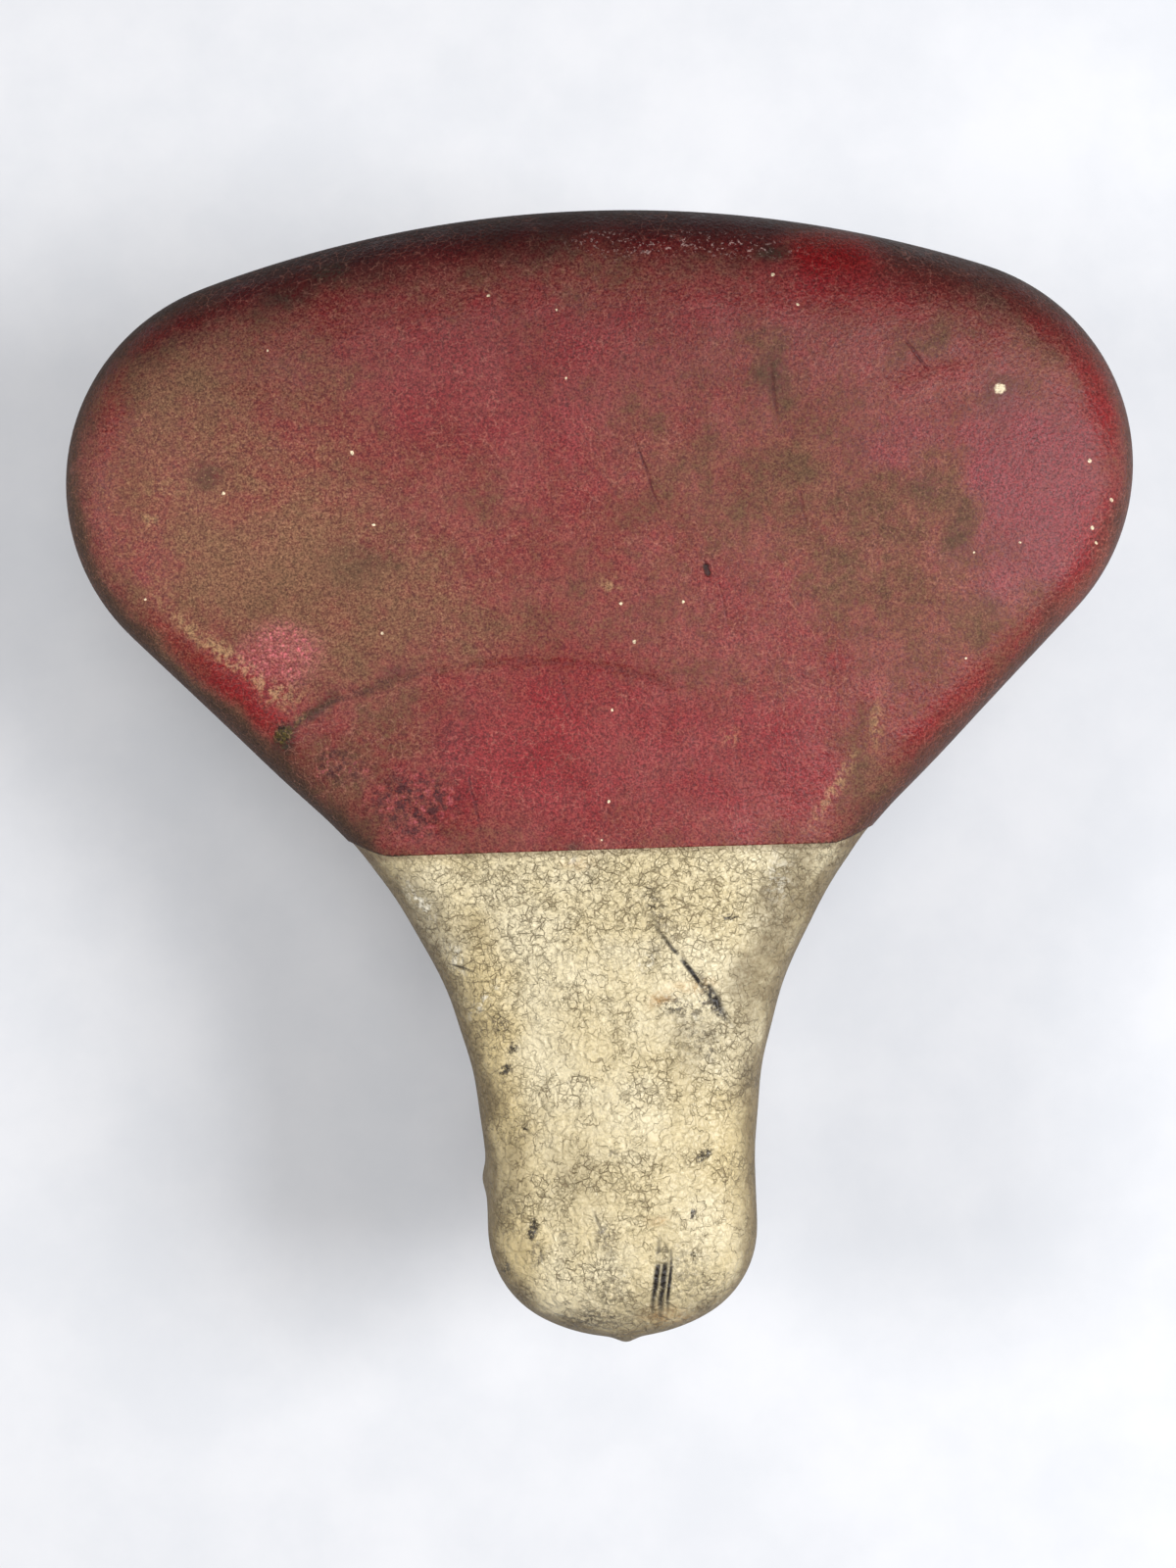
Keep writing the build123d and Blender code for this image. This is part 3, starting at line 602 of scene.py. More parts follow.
mark(
    cream_cover,
    "smudges",
    1.0,
    (14, -48, 11, 4.5, -8, 0.6, 0.95),
    (20, -47, 4, 5.5, 30, 0.5, 1.0),
    (8.5, -28, 13, 4, -62, 0.7, 0.75),
    (8.5, -37.5, 8, 3.5, 65, 0.7, 0.6),
    (17, -55, 11, 11, 0, 0.8, 0.55),
    (19.5, -59, 2.2, 5, 0, 0.6, 0.8),
    (-24.5, -50.5, 3.5, 5, 0, 0.7, 0.9),
    (-2, -106, 10, 9, 0, 0.6, 0.55),
    (-6, -112.5, 14, 5, 0, 0.6, 0.8),
    (12, -104, 9, 12, 0, 0.8, 0.6),
    (-4, -95, 4, 9, 10, 0.7, 0.7),
    (-12.5, -95, 2, 5, 20, 0.7, 0.6),
    (-20.5, -73, 3, 5, 0, 0.7, 0.6),
    (-17.5, -99.5, 3.5, 5, 20, 0.6, 0.85),
    (-6, -19, 5, 4, 0, 0.7, 0.5),
    (28, -64, 4, 7, 20, 0.7, 0.6),
)
# mostly painted highlights: white glints on the shoulders, with two small pale specks on the top
mark(
    cream_cover,
    "glints_and_specks",
    0.8,
    (-41, -24, 9, 3, -60, 0.7, 0.9),
    (-34, -37, 7, 3, -60, 0.7, 0.8),
    (-28, -46, 9, 2, 55, 0.7, 0.8),
    (35, -22, 6, 10, 0, 0.8, 0.5),
    (7, -39, 5, 2.4, 60, 0.7, 0.8),
    (-9, -16.5, 3, 2, 0, 0.6, 0.8),
)
mark(
    cream_cover,
    "rust",
    0.8,
    (9.5, -46.2, 6, 2.4, 20, 0.7, 0.7),
    (17, -43.5, 9, 2.4, -5, 0.8, 0.55),
    (6.5, -92.6, 4, 2, 0, 0.7, 0.6),
    (-7.5, -17.4, 6, 2.4, 0, 0.8, 0.4),
    (9, -113, 9, 4, 0, 0.8, 0.4),
)
mark(
    cream_cover,
    "crackled",
    3,
    (0, -24, 100, 30, 0, 0.6, 0.9),
    (-34, -42, 26, 44, 20, 0.6, 0.85),
    (-24, -66, 22, 26, 0, 0.7, 0.6),
)
# dirt and painted shade: darker on the right side, the left shoulder and the nose tip
mark(
    cream_cover,
    "dirt_and_shade_places",
    2,
    (35, -34, 16, 48, -20, 0.6, 0.75),
    (-42, -26, 12, 26, 30, 0.6, 0.6),
    (0, -115, 60, 12, 0, 0.7, 0.6),
    (27, -66, 9, 20, 0, 0.7, 0.6),
    (-24, -82, 8, 22, 0, 0.8, 0.45),
    (-10, -82, 12, 14, 0, 0.8, 0.35),
    (16, -56, 16, 20, 0, 0.7, 0.35),
    (-29, -33, 10, 8, 0, 0.8, 0.4),
)


# ---------------------------------------------------------------- padding
PAD_SKIN = 3.6
base, ways, rings = seat_rings(PAD_SKIN)
rings = [r for r in rings if r[:, 2].min() > RIM_Z + 2]
for inset, z in (
    (PAD_SKIN + 1.6, RIM_Z + 0.6),
    (PAN_INSET - 0.4, RIM_Z + 0.4),
    (PAN_INSET - 0.4, PAN_TOP_Z - 2.0),
    (PAN_INSET + 2.0, PAN_TOP_Z + 1.0),
    (PAN_INSET + 6.0, PAN_TOP_Z + 1.8),
):
    rings.append(ring(base, ways, inset, z))
for share in (0.3, 0.65, 1.0):
    flat = spine_blend(base, ways, PAN_INSET + 6.0, share)
    rings.append(np.column_stack([flat, np.full(len(flat), PAN_TOP_Z + 1.8)]))
padding = loft("padding", rings)
modifier = padding.modifiers.new("Subdivision", "SUBSURF")
modifier.levels = modifier.render_levels = 1

# ---------------------------------------------------------------- springs
SPRING_WIRE = 2.1
SPRING_OUTER = 18.0
ACTIVE_TURNS = 3.5


def spring(name, node):
    """A coil of round wire with one closed turn at each end, in the place of its CAD node."""
    low, high = node_box(node)
    middle = (low + high) / 2
    mean = SPRING_OUTER - SPRING_WIRE
    closed = 2 * SPRING_WIRE * 1.02
    rise = high[2] - low[2] - 2 * SPRING_WIRE - 2 * closed
    turns = np.linspace(0, ACTIVE_TURNS + 2, 420)
    pitch = np.where((turns < 1) | (turns > ACTIVE_TURNS + 1), closed, rise / ACTIVE_TURNS)
    blur = np.convolve(np.pad(pitch, 12, mode="edge"), np.ones(25) / 25, mode="valid")
    height = np.concatenate([[0], np.cumsum((blur[1:] + blur[:-1]) / 2 * np.diff(turns))])
    height *= (high[2] - low[2] - 2 * SPRING_WIRE) / height[-1]
    angle = 2 * pi * turns
    path = np.column_stack(
        [
            middle[0] + mean * np.cos(angle),
            middle[1] + mean * np.sin(angle),
            low[2] + SPRING_WIRE + height,
        ]
    )
    outward = np.column_stack([np.cos(angle), np.sin(angle), np.zeros(len(angle))])
    along = np.gradient(path, axis=0)
    along /= np.linalg.norm(along, axis=1)[:, None]
    upward = np.cross(outward, along) * -1
    section = np.linspace(0, 2 * pi, 20, endpoint=False)
    rounds = []
    for spot, out, up in zip(path, outward, upward):
        rounds.append(spot + SPRING_WIRE * (np.outer(np.cos(section), out) + np.outer(np.sin(section), up)))
    points = np.vstack(rounds)
    faces = []
    for i in range(len(path) - 1):
        for k in range(20):
            j = (k + 1) % 20
            faces.append((i * 20 + k, i * 20 + j, (i + 1) * 20 + j, (i + 1) * 20 + k))
    faces.append(tuple(range(19, -1, -1)))
    faces.append(tuple((len(path) - 1) * 20 + k for k in range(20)))
    piece = mesh_object(name, points, faces)
    work = bmesh.new()
    work.from_mesh(piece.data)
    bmesh.ops.recalc_face_normals(work, faces=work.faces)
    work.to_mesh(piece.data)
    work.free()
    piece.data.shade_smooth()
    return piece, middle, low[2], high[2]


springs = []
for side in ("left", "right"):
    piece, middle, bottom, top = spring(f"spring_{side}", f"coil_spring_{side}")
    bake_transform(piece)
    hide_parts(f"coil_spring_{side}")
    springs.append(piece)


# ---------------------------------------------------------------- material building
def srgb(red, green, blue):
    """Linear colour from screen values of 0 to 255."""
    linear = []
    for value in (red, green, blue):
        value /= 255
        linear.append(value / 12.92 if value <= 0.04045 else ((value + 0.055) / 1.055) ** 2.4)
    return (*linear, 1.0)


class Paint:
    """Builds one material. Each method adds a node and returns its output socket."""

    def __init__(self, name):
        self.material = bpy.data.materials.new(name)
        self.material.use_nodes = True
        self.tree = self.material.node_tree
        self.shader = self.tree.nodes["Principled BSDF"]
        place = self.tree.nodes.new("ShaderNodeTexCoord")
        grow = self.tree.nodes.new("ShaderNodeVectorMath")
        grow.operation = "SCALE"
        grow.inputs["Scale"].default_value = 1 / MM
        self.tree.links.new(place.outputs["Object"], grow.inputs[0])
        self.place = grow.outputs[0]
        parts = self.tree.nodes.new("ShaderNodeSeparateXYZ")
        self.tree.links.new(self.place, parts.inputs[0])
        self.x, self.y, self.z = parts.outputs
        facing = self.tree.nodes.new("ShaderNodeSeparateXYZ")
        self.tree.links.new(place.outputs["Normal"], facing.inputs[0])
        self.up = facing.outputs[2]

    def put(self, socket, value):
        """Links a socket, or sets a plain value."""
        if isinstance(value, bpy.types.NodeSocket):
            self.tree.links.new(value, socket)
        else:
            socket.default_value = value

    def math(self, operation, a, b=0.0, c=0.0):
        """One of Blender's Math node operations."""
        node = self.tree.nodes.new("ShaderNodeMath")
        node.operation = operation
        for socket, value in zip(node.inputs, (a, b, c)):
            self.put(socket, value)
        return node.outputs[0]

    def add(self, a, b):
        return self.math("ADD", a, b)

    def times(self, a, b):
        return self.math("MULTIPLY", a, b)

    def most(self, *values):
        """The largest of several values."""
        total = values[0]
        for value in values[1:]:
            total = self.math("MAXIMUM", total, value)
        return total

    def step(self, value, low, high, start=0.0, end=1.0):
        """Smoothly from start at low to end at high."""
        node = self.tree.nodes.new("ShaderNodeMapRange")
        node.interpolation_type = "SMOOTHSTEP"
        for index, number in enumerate((value, low, high, start, end)):
            self.put(node.inputs[index], number)
        return node.outputs[0]

    def mix(self, share, a, b):
        """Colour a where share is 0, colour b where it is 1."""
        return self.mix_value(share, a, b, "RGBA")

    def shade(self, colour, value):
        """A colour made darker or lighter by a value round 1."""
        node = self.tree.nodes.new("ShaderNodeHueSaturation")
        self.put(node.inputs["Color"], colour)
        self.put(node.inputs["Value"], value)
        return node.outputs[0]

    def centred(self, value, reach):
        """A 0 to 1 value moved to run about nought, reach to each side."""
        return self.math("MULTIPLY_ADD", value, 2 * reach, -reach)

    def line_net(self, size, width, where=None):
        """Thin wandering lines where a cloudy noise crosses its middle value."""
        level = self.noise(size, 3.0, 0.5, 0.0, where)
        return self.step(self.math("ABSOLUTE", self.math("SUBTRACT", level, 0.5)), 0.0, width, 1.0, 0.0)

    def mix_value(self, share, a, b, kind="FLOAT"):
        """Number a where share is 0, number b where it is 1."""
        node = self.tree.nodes.new("ShaderNodeMix")
        node.data_type = kind
        self.put(node.inputs["Factor"], share)
        self.put(node.inputs["A"], a)
        self.put(node.inputs["B"], b)
        return node.outputs["Result"]

    def noise(self, size, detail=4.0, rough=0.55, twist=0.0, where=None):
        """Cloudy noise, 0 to 1, whose blobs are about size millimetres."""
        node = self.tree.nodes.new("ShaderNodeTexNoise")
        self.put(node.inputs["Vector"], where or self.place)
        node.inputs["Scale"].default_value = 1 / size
        node.inputs["Detail"].default_value = detail
        node.inputs["Roughness"].default_value = rough
        node.inputs["Distortion"].default_value = twist
        return node.outputs["Factor" if "Factor" in node.outputs else "Fac"]

    def cells(self, size, feature="F1", where=None, jitter=1.0):
        """Distance in a cell pattern whose cells are about size millimetres."""
        node = self.tree.nodes.new("ShaderNodeTexVoronoi")
        node.feature = feature
        self.put(node.inputs["Vector"], where or self.place)
        node.inputs["Scale"].default_value = 1 / size
        node.inputs["Randomness"].default_value = jitter
        return node.outputs["Distance"]

    def warp(self, amount, size, where=None):
        """Positions pushed about by noise, so that a pattern loses its straight edges."""
        node = self.tree.nodes.new("ShaderNodeTexNoise")
        self.put(node.inputs["Vector"], where or self.place)
        node.inputs["Scale"].default_value = 1 / size
        node.inputs["Detail"].default_value = 3
        apart = self.tree.nodes.new("ShaderNodeSeparateColor")
        self.put(apart.inputs[0], node.outputs["Color"])
        push = self.tree.nodes.new("ShaderNodeCombineXYZ")
        for socket, value in zip(push.inputs, apart.outputs):
            self.put(socket, self.centred(value, amount / 2))
        moved = self.tree.nodes.new("ShaderNodeVectorMath")
        moved.operation = "ADD"
        self.put(moved.inputs[0], where or self.place)
        self.put(moved.inputs[1], push.outputs[0])
        return moved.outputs[0]

    def mask(self, name):
        """A mask that mark() stored on the piece."""
        node = self.tree.nodes.new("ShaderNodeAttribute")
        node.attribute_name = name
        return node.outputs["Fac"]

    def far(self, where, x, y, length=2.0, width=2.0, turn=0.0):
        """Distance from x, y seen from above, as a share of an oval's half length and half width."""
        node = self.tree.nodes.new("ShaderNodeMapping")
        node.vector_type = "TEXTURE"
        self.put(node.inputs["Vector"], where)
        node.inputs["Location"].default_value = (x, y, 0)
        node.inputs["Rotation"].default_value = (0, 0, radians(turn))
        node.inputs["Scale"].default_value = (length / 2, width / 2, 1e4)
        length_of = self.tree.nodes.new("ShaderNodeVectorMath")
        length_of.operation = "LENGTH"
        self.put(length_of.inputs[0], node.outputs[0])
        return length_of.outputs["Value"]

    def patch(self, where, x, y, length, width, turn=0.0, soft=0.5):
        """1 inside an oval at x, y, fading to 0 outside it."""
        return self.step(self.far(where, x, y, length, width, turn), 1 - soft, 1 + soft, 1.0, 0.0)

    def patches(self, where, *ovals):
        """The strongest of several ovals; each is x, y, length, width, turn, soft, strength."""
        found = 0.0
        for oval in ovals:
            found = self.most(found, self.times(self.patch(where, *oval[:6]), oval[6]))
        return found

    def relief(self, *layers):
        """Normal for the sum of several height fields of 0 to 1, each with its depth in millimetres."""
        total = 0.0
        for height, depth in layers:
            total = self.math("MULTIPLY_ADD", height, depth, total)
        node = self.tree.nodes.new("ShaderNodeBump")
        self.put(node.inputs["Height"], total)
        node.inputs["Distance"].default_value = MM
        return node.outputs[0]

    def finish(self, colour, roughness, normal=None, metallic=0.0):
        """Joins the results to the shader and returns the material."""
        self.put(self.shader.inputs["Base Color"], colour)
        self.put(self.shader.inputs["Roughness"], roughness)
        self.put(self.shader.inputs["Metallic"], metallic)
        if normal is not None:
            self.put(self.shader.inputs["Normal"], normal)
        return self.material


# ---------------------------------------------------------------- marks on the vinyl
def edge_band(p, low, high, ragged=0.3):
    """1 on the side walls, fading out over the shoulder, 0 on the seat's upper face."""
    tilt = p.add(p.up, p.centred(p.noise(9.0, 4.0, 0.6), ragged))
    return p.step(tilt, low, high, 1.0, 0.0)


def arc_line(p, where, x, y, radius, width, low, high):
    """A thin arc about x, y, kept between two values of X."""
    off = p.math("ABSOLUTE", p.math("SUBTRACT", p.far(where, x, y), radius))
    line = p.step(off, 0.0, width, 1.0, 0.0)
    ends = p.times(p.step(p.x, low, low + 14), p.step(p.x, high - 14, high, 1.0, 0.0))
    return p.times(p.times(line, ends), p.step(p.y, y, y + 5))


def scratches(p, *lines):
    """Straight scratches; each is x0, y0, x1, y1, width, strength."""
    where = p.warp(1.2, 7.0)
    rub = p.step(p.noise(3.5, 3.0, 0.6), 0.3, 0.46, 0.2, 1.0)
    ovals = []
    for x0, y0, x1, y1, width, strength in lines:
        length = hypot(x1 - x0, y1 - y0)
        turn = degrees(atan2(y1 - y0, x1 - x0))
        ovals.append(((x0 + x1) / 2, (y0 + y1) / 2, length, width, turn, 0.6, strength))
    return p.times(p.patches(where, *ovals), rub)


def dots(p, size, *places):
    """Small ragged dots at the given places."""
    ovals = [(x, y, size, size * 0.85, 30 * i, 0.3, 1.0) for i, (x, y) in enumerate(places)]
    return p.patches(p.warp(0.6, 0.7), *ovals)


# ---------------------------------------------------------------- red vinyl
def red_vinyl():
    """Faded crimson vinyl under a brown film of dirt that sits in its grain."""
    p = Paint("red_vinyl")
    near = p.warp(3.0, 4.0)
    drift = p.warp(8.0, 12.0)
    cloud = p.noise(26.0, 5.0, 0.62, 0.5)
    mottle = p.noise(6.0, 5.0, 0.66)
    fleck = p.noise(1.5, 4.0, 0.68)
    grain = p.noise(0.42, 2.0, 0.6)

    red = p.mix(p.step(p.noise(15.0, 4.0, 0.6), 0.36, 0.64), srgb(136, 52, 54), srgb(128, 32, 38))
    rosy = p.mask("rosy")
    red = p.mix(rosy, red, srgb(124, 44, 50))
    deep = p.mask("deep")
    red = p.mix(deep, red, srgb(126, 6, 14))

    grimy = p.mask("grimy")
    clean = p.mask("clean")
    clean = p.most(clean, deep)
    level = p.add(p.centred(cloud, 0.65), p.centred(mottle, 0.35))
    level = p.add(level, p.add(p.times(grimy, 0.52), p.times(clean, -0.58)))
    level = p.add(level, p.add(p.centred(grain, 0.85), p.centred(fleck, 0.45)))
    dirt = p.step(level, -0.5, 0.72)
    rim = edge_band(p, 0.55, 0.95)
    left = p.step(p.x, -20, 40, 1.0, 0.5)
    rim_dirt = p.times(p.times(rim, left), p.step(p.add(grain, fleck), 0.7, 1.05, 0.7, 1.0))
    dirt = p.most(p.times(dirt, 0.92), rim_dirt)
    dust = p.mix(p.step(mottle, 0.35, 0.65), srgb(112, 78, 58), srgb(92, 70, 48))
    dust = p.mix(p.times(p.mask("dusted"), 0.8), dust, srgb(134, 98, 72))
    colour = p.mix(dirt, red, dust)

    # painted shade: a dark band along the rear edge's shoulder, weaker towards the wings and on the deep red
    # patch
    rear_edge_shade = p.step(p.far(drift, 0, REAR_Y - REAR_RADIUS), REAR_RADIUS - 20, REAR_RADIUS - 4)
    shadowed = p.mix(p.step(p.x, 30, 70), srgb(40, 7, 6), srgb(46, 34, 26))
    rear_edge_shade = p.times(rear_edge_shade, p.step(p.math("ABSOLUTE", p.x), 55, 105, 0.93, 0.65))
    rear_edge_shade = p.times(rear_edge_shade, p.add(1.0, p.times(p.patch(near, 50, 108, 22, 16, -5, 0.4), -0.8)))
    rear_edge_shade = p.times(rear_edge_shade, p.step(p.up, 0.0, 0.5, 0.4, 1.0))
    colour = p.mix(rear_edge_shade, colour, shadowed)
    # painted shade: the side walls darkened where they face sideways and down
    wall_shade = p.step(p.up, 0.15, 0.55, 1.0, 0.0)
    colour = p.mix(p.times(wall_shade, p.step(mottle, 0.35, 0.65, 0.5, 0.85)), colour, srgb(54, 32, 24))
    # brown grime with painted shade: the side walls and shoulders darkened, more on the left
    rim_grime_and_shade = p.times(edge_band(p, 0.5, 0.93), p.step(p.x, -40, 90, 0.82, 0.66))
    colour = p.mix(p.times(rim_grime_and_shade, p.step(deep, 0.1, 0.6, 1.0, 0.25)), colour, srgb(56, 34, 22))

    dark = p.mask("dark")
    dark = p.times(dark, p.step(p.add(fleck, grain), 0.75, 1.1))
    colour = p.mix(dark, colour, srgb(48, 40, 30))

    bruise = p.mask("bruise")
    blotch = p.noise(1.9, 4.0, 0.7)
    colour = p.mix(p.times(bruise, p.step(blotch, 0.45, 0.6, 0.0, 0.85)), colour, srgb(58, 24, 30))
    colour = p.mix(p.times(bruise, p.step(blotch, 0.44, 0.34, 0.0, 0.65)), colour, srgb(172, 84, 92))

    crease = arc_line(p, near, -20, -80, 104.5, 1.5, -70, 26)
    second = arc_line(p, near, 62, -70, 92, 1.3, 30, 74)
    crease = p.times(p.most(crease, p.times(second, 0.35)), p.step(mottle, 0.3, 0.6, 0.45, 0.9))
    # darker along the arc crease: brown on the left, dark red towards the right
    crease_strength = p.step(p.x, -62, -26, 0.85, 0.42)
    crease_tone = p.mix(p.step(p.x, -50, -20), srgb(54, 42, 28), srgb(92, 18, 24))
    colour = p.mix(p.times(crease, crease_strength), colour, crease_tone)

    crust = p.patches(
        p.warp(2.2, 0.9),
        (-68.6, 11.4, 4.6, 3.4, 55, 0.4, 0.95),
        (-64.6, 14.2, 4.4, 1.2, 36, 0.5, 0.6),
    )
    colour = p.mix(crust, colour, p.mix(p.step(fleck, 0.42, 0.56), srgb(28, 24, 14), srgb(84, 70, 30)))

    scuffed = p.mask("scuffed")
    colour = p.mix(p.times(scuffed, p.step(fleck, 0.42, 0.6)), colour, srgb(160, 124, 88))
    pale = p.mask("pale")
    colour = p.mix(p.times(pale, p.step(p.noise(0.9, 3.0, 0.7), 0.56, 0.66)), colour, srgb(186, 156, 150))
    # painted sheen: pink highlights over the crinkled glossy patch on the left flank; the lower roughness
    # there is real
    shine = p.mask("shine")
    crinkle = p.cells(0.9, "F1", p.warp(0.8, 0.8))
    painted_sheen = p.times(p.step(crinkle, 0.1, 0.6, 0.95, 0.3), p.step(mottle, 0.36, 0.56, 0.45, 0.95))
    colour = p.mix(p.times(shine, painted_sheen), colour, srgb(206, 104, 112))

    flour = p.step(p.cells(0.95), 0.24, 0.1)
    flour = p.times(flour, p.mask("dusted"))
    colour = p.mix(p.times(flour, 0.5), colour, srgb(178, 142, 104))
    pits = p.times(p.step(p.cells(2.1, "F1", near), 0.15, 0.07), p.step(mottle, 0.45, 0.6))
    colour = p.mix(p.times(pits, 0.6), colour, srgb(54, 30, 26))

    net = p.step(p.cells(2.3, "DISTANCE_TO_EDGE", p.warp(1.2, 1.8)), 0.0, 0.06, 1.0, 0.0)
    net = p.times(net, p.step(cloud, 0.62, 0.42, 0.0, 0.8))
    net = p.times(net, p.step(fleck, 0.4, 0.55))
    colour = p.mix(p.times(net, 0.42), colour, srgb(168, 112, 98))

    lines = scratches(
        p,
        (7.5, 69, 12, 56, 0.6, 0.8),
        (64, 90, 69, 83, 0.7, 0.8),
        (-10, 22, -7, 13, 0.5, 0.5),
        (-29.5, 2, -27, -11, 0.6, 0.6),
        (36, 84, 37, 72, 0.8, 0.5),
        (24, 40, 26, 30, 0.5, 0.4),
        (41, 60, 43, 50, 0.6, 0.45),
    )
    colour = p.mix(lines, colour, srgb(84, 16, 24))
    tear = p.patches(p.warp(1.2, 1.0), (21.6, 42.6, 1.7, 3.0, 12, 0.3, 0.9))
    lip = p.patches(p.warp(1.2, 1.0), (22.4, 43.2, 1.1, 1.7, 12, 0.5, 1.0))
    tear = p.times(tear, p.step(lip, 0.0, 1.0, 1.0, 0.35))
    colour = p.mix(tear, colour, srgb(34, 14, 12))
    drops = p.most(
        p.patches(p.warp(1.3, 0.9), (84.3, 78.8, 2.2, 2.0, 0, 0.3, 1.0)),
        dots(
            p,
            0.8,
            (-22, 100), (37, 103), (6, 28), (-51.5, 69),
            (104, 50), (108.5, 56), (103.5, 64), (-79, 62),
        ),
        dots(
            p,
            0.62,
            (3.5, 36), (16.5, 36), (-0.3, -5), (1, 14),
            (42, 96.5), (105, 47), (-47.5, 54), (-46.5, 31.5),
        ),
        dots(
            p,
            0.5,
            (-8, 96.5), (-6.5, 82.5), (-68.5, 91), (-97, 41),
            (-2, -13), (78, 45), (88, 47), (76, 23),
        ),
    )
    colour = p.mix(drops, colour, srgb(232, 212, 178))
    coarse = p.add(grain, p.times(p.noise(0.75, 2.0, 0.6), 0.55))
    # painted shade: the colour darkens towards the rear, where less light falls; the coarse grain varies it
    # too
    rearward_shade = p.step(p.y, 50, REAR_Y, 1.0, 0.6)
    colour = p.shade(colour, p.times(p.step(coarse, 0.52, 1.06, 0.44, 1.54), rearward_shade))

    pebble = p.cells(0.95, "F1", p.warp(0.5, 0.9))
    rolling = p.noise(7.0, 2.0, 0.5)
    normal = p.relief(
        (pebble, 0.1),
        (grain, 0.12),
        (rolling, 0.3),
        (crease, -0.25),
        (tear, -0.3),
        (lines, -0.15),
        (p.times(shine, crinkle), 0.3),
    )
    rough = p.add(p.step(dirt, 0.1, 0.9, 0.42, 0.68), p.centred(fleck, 0.12))
    rough = p.mix_value(shine, rough, 0.34)
    p.shader.inputs["Specular IOR Level"].default_value = 0.26
    return p.finish(colour, rough, normal)


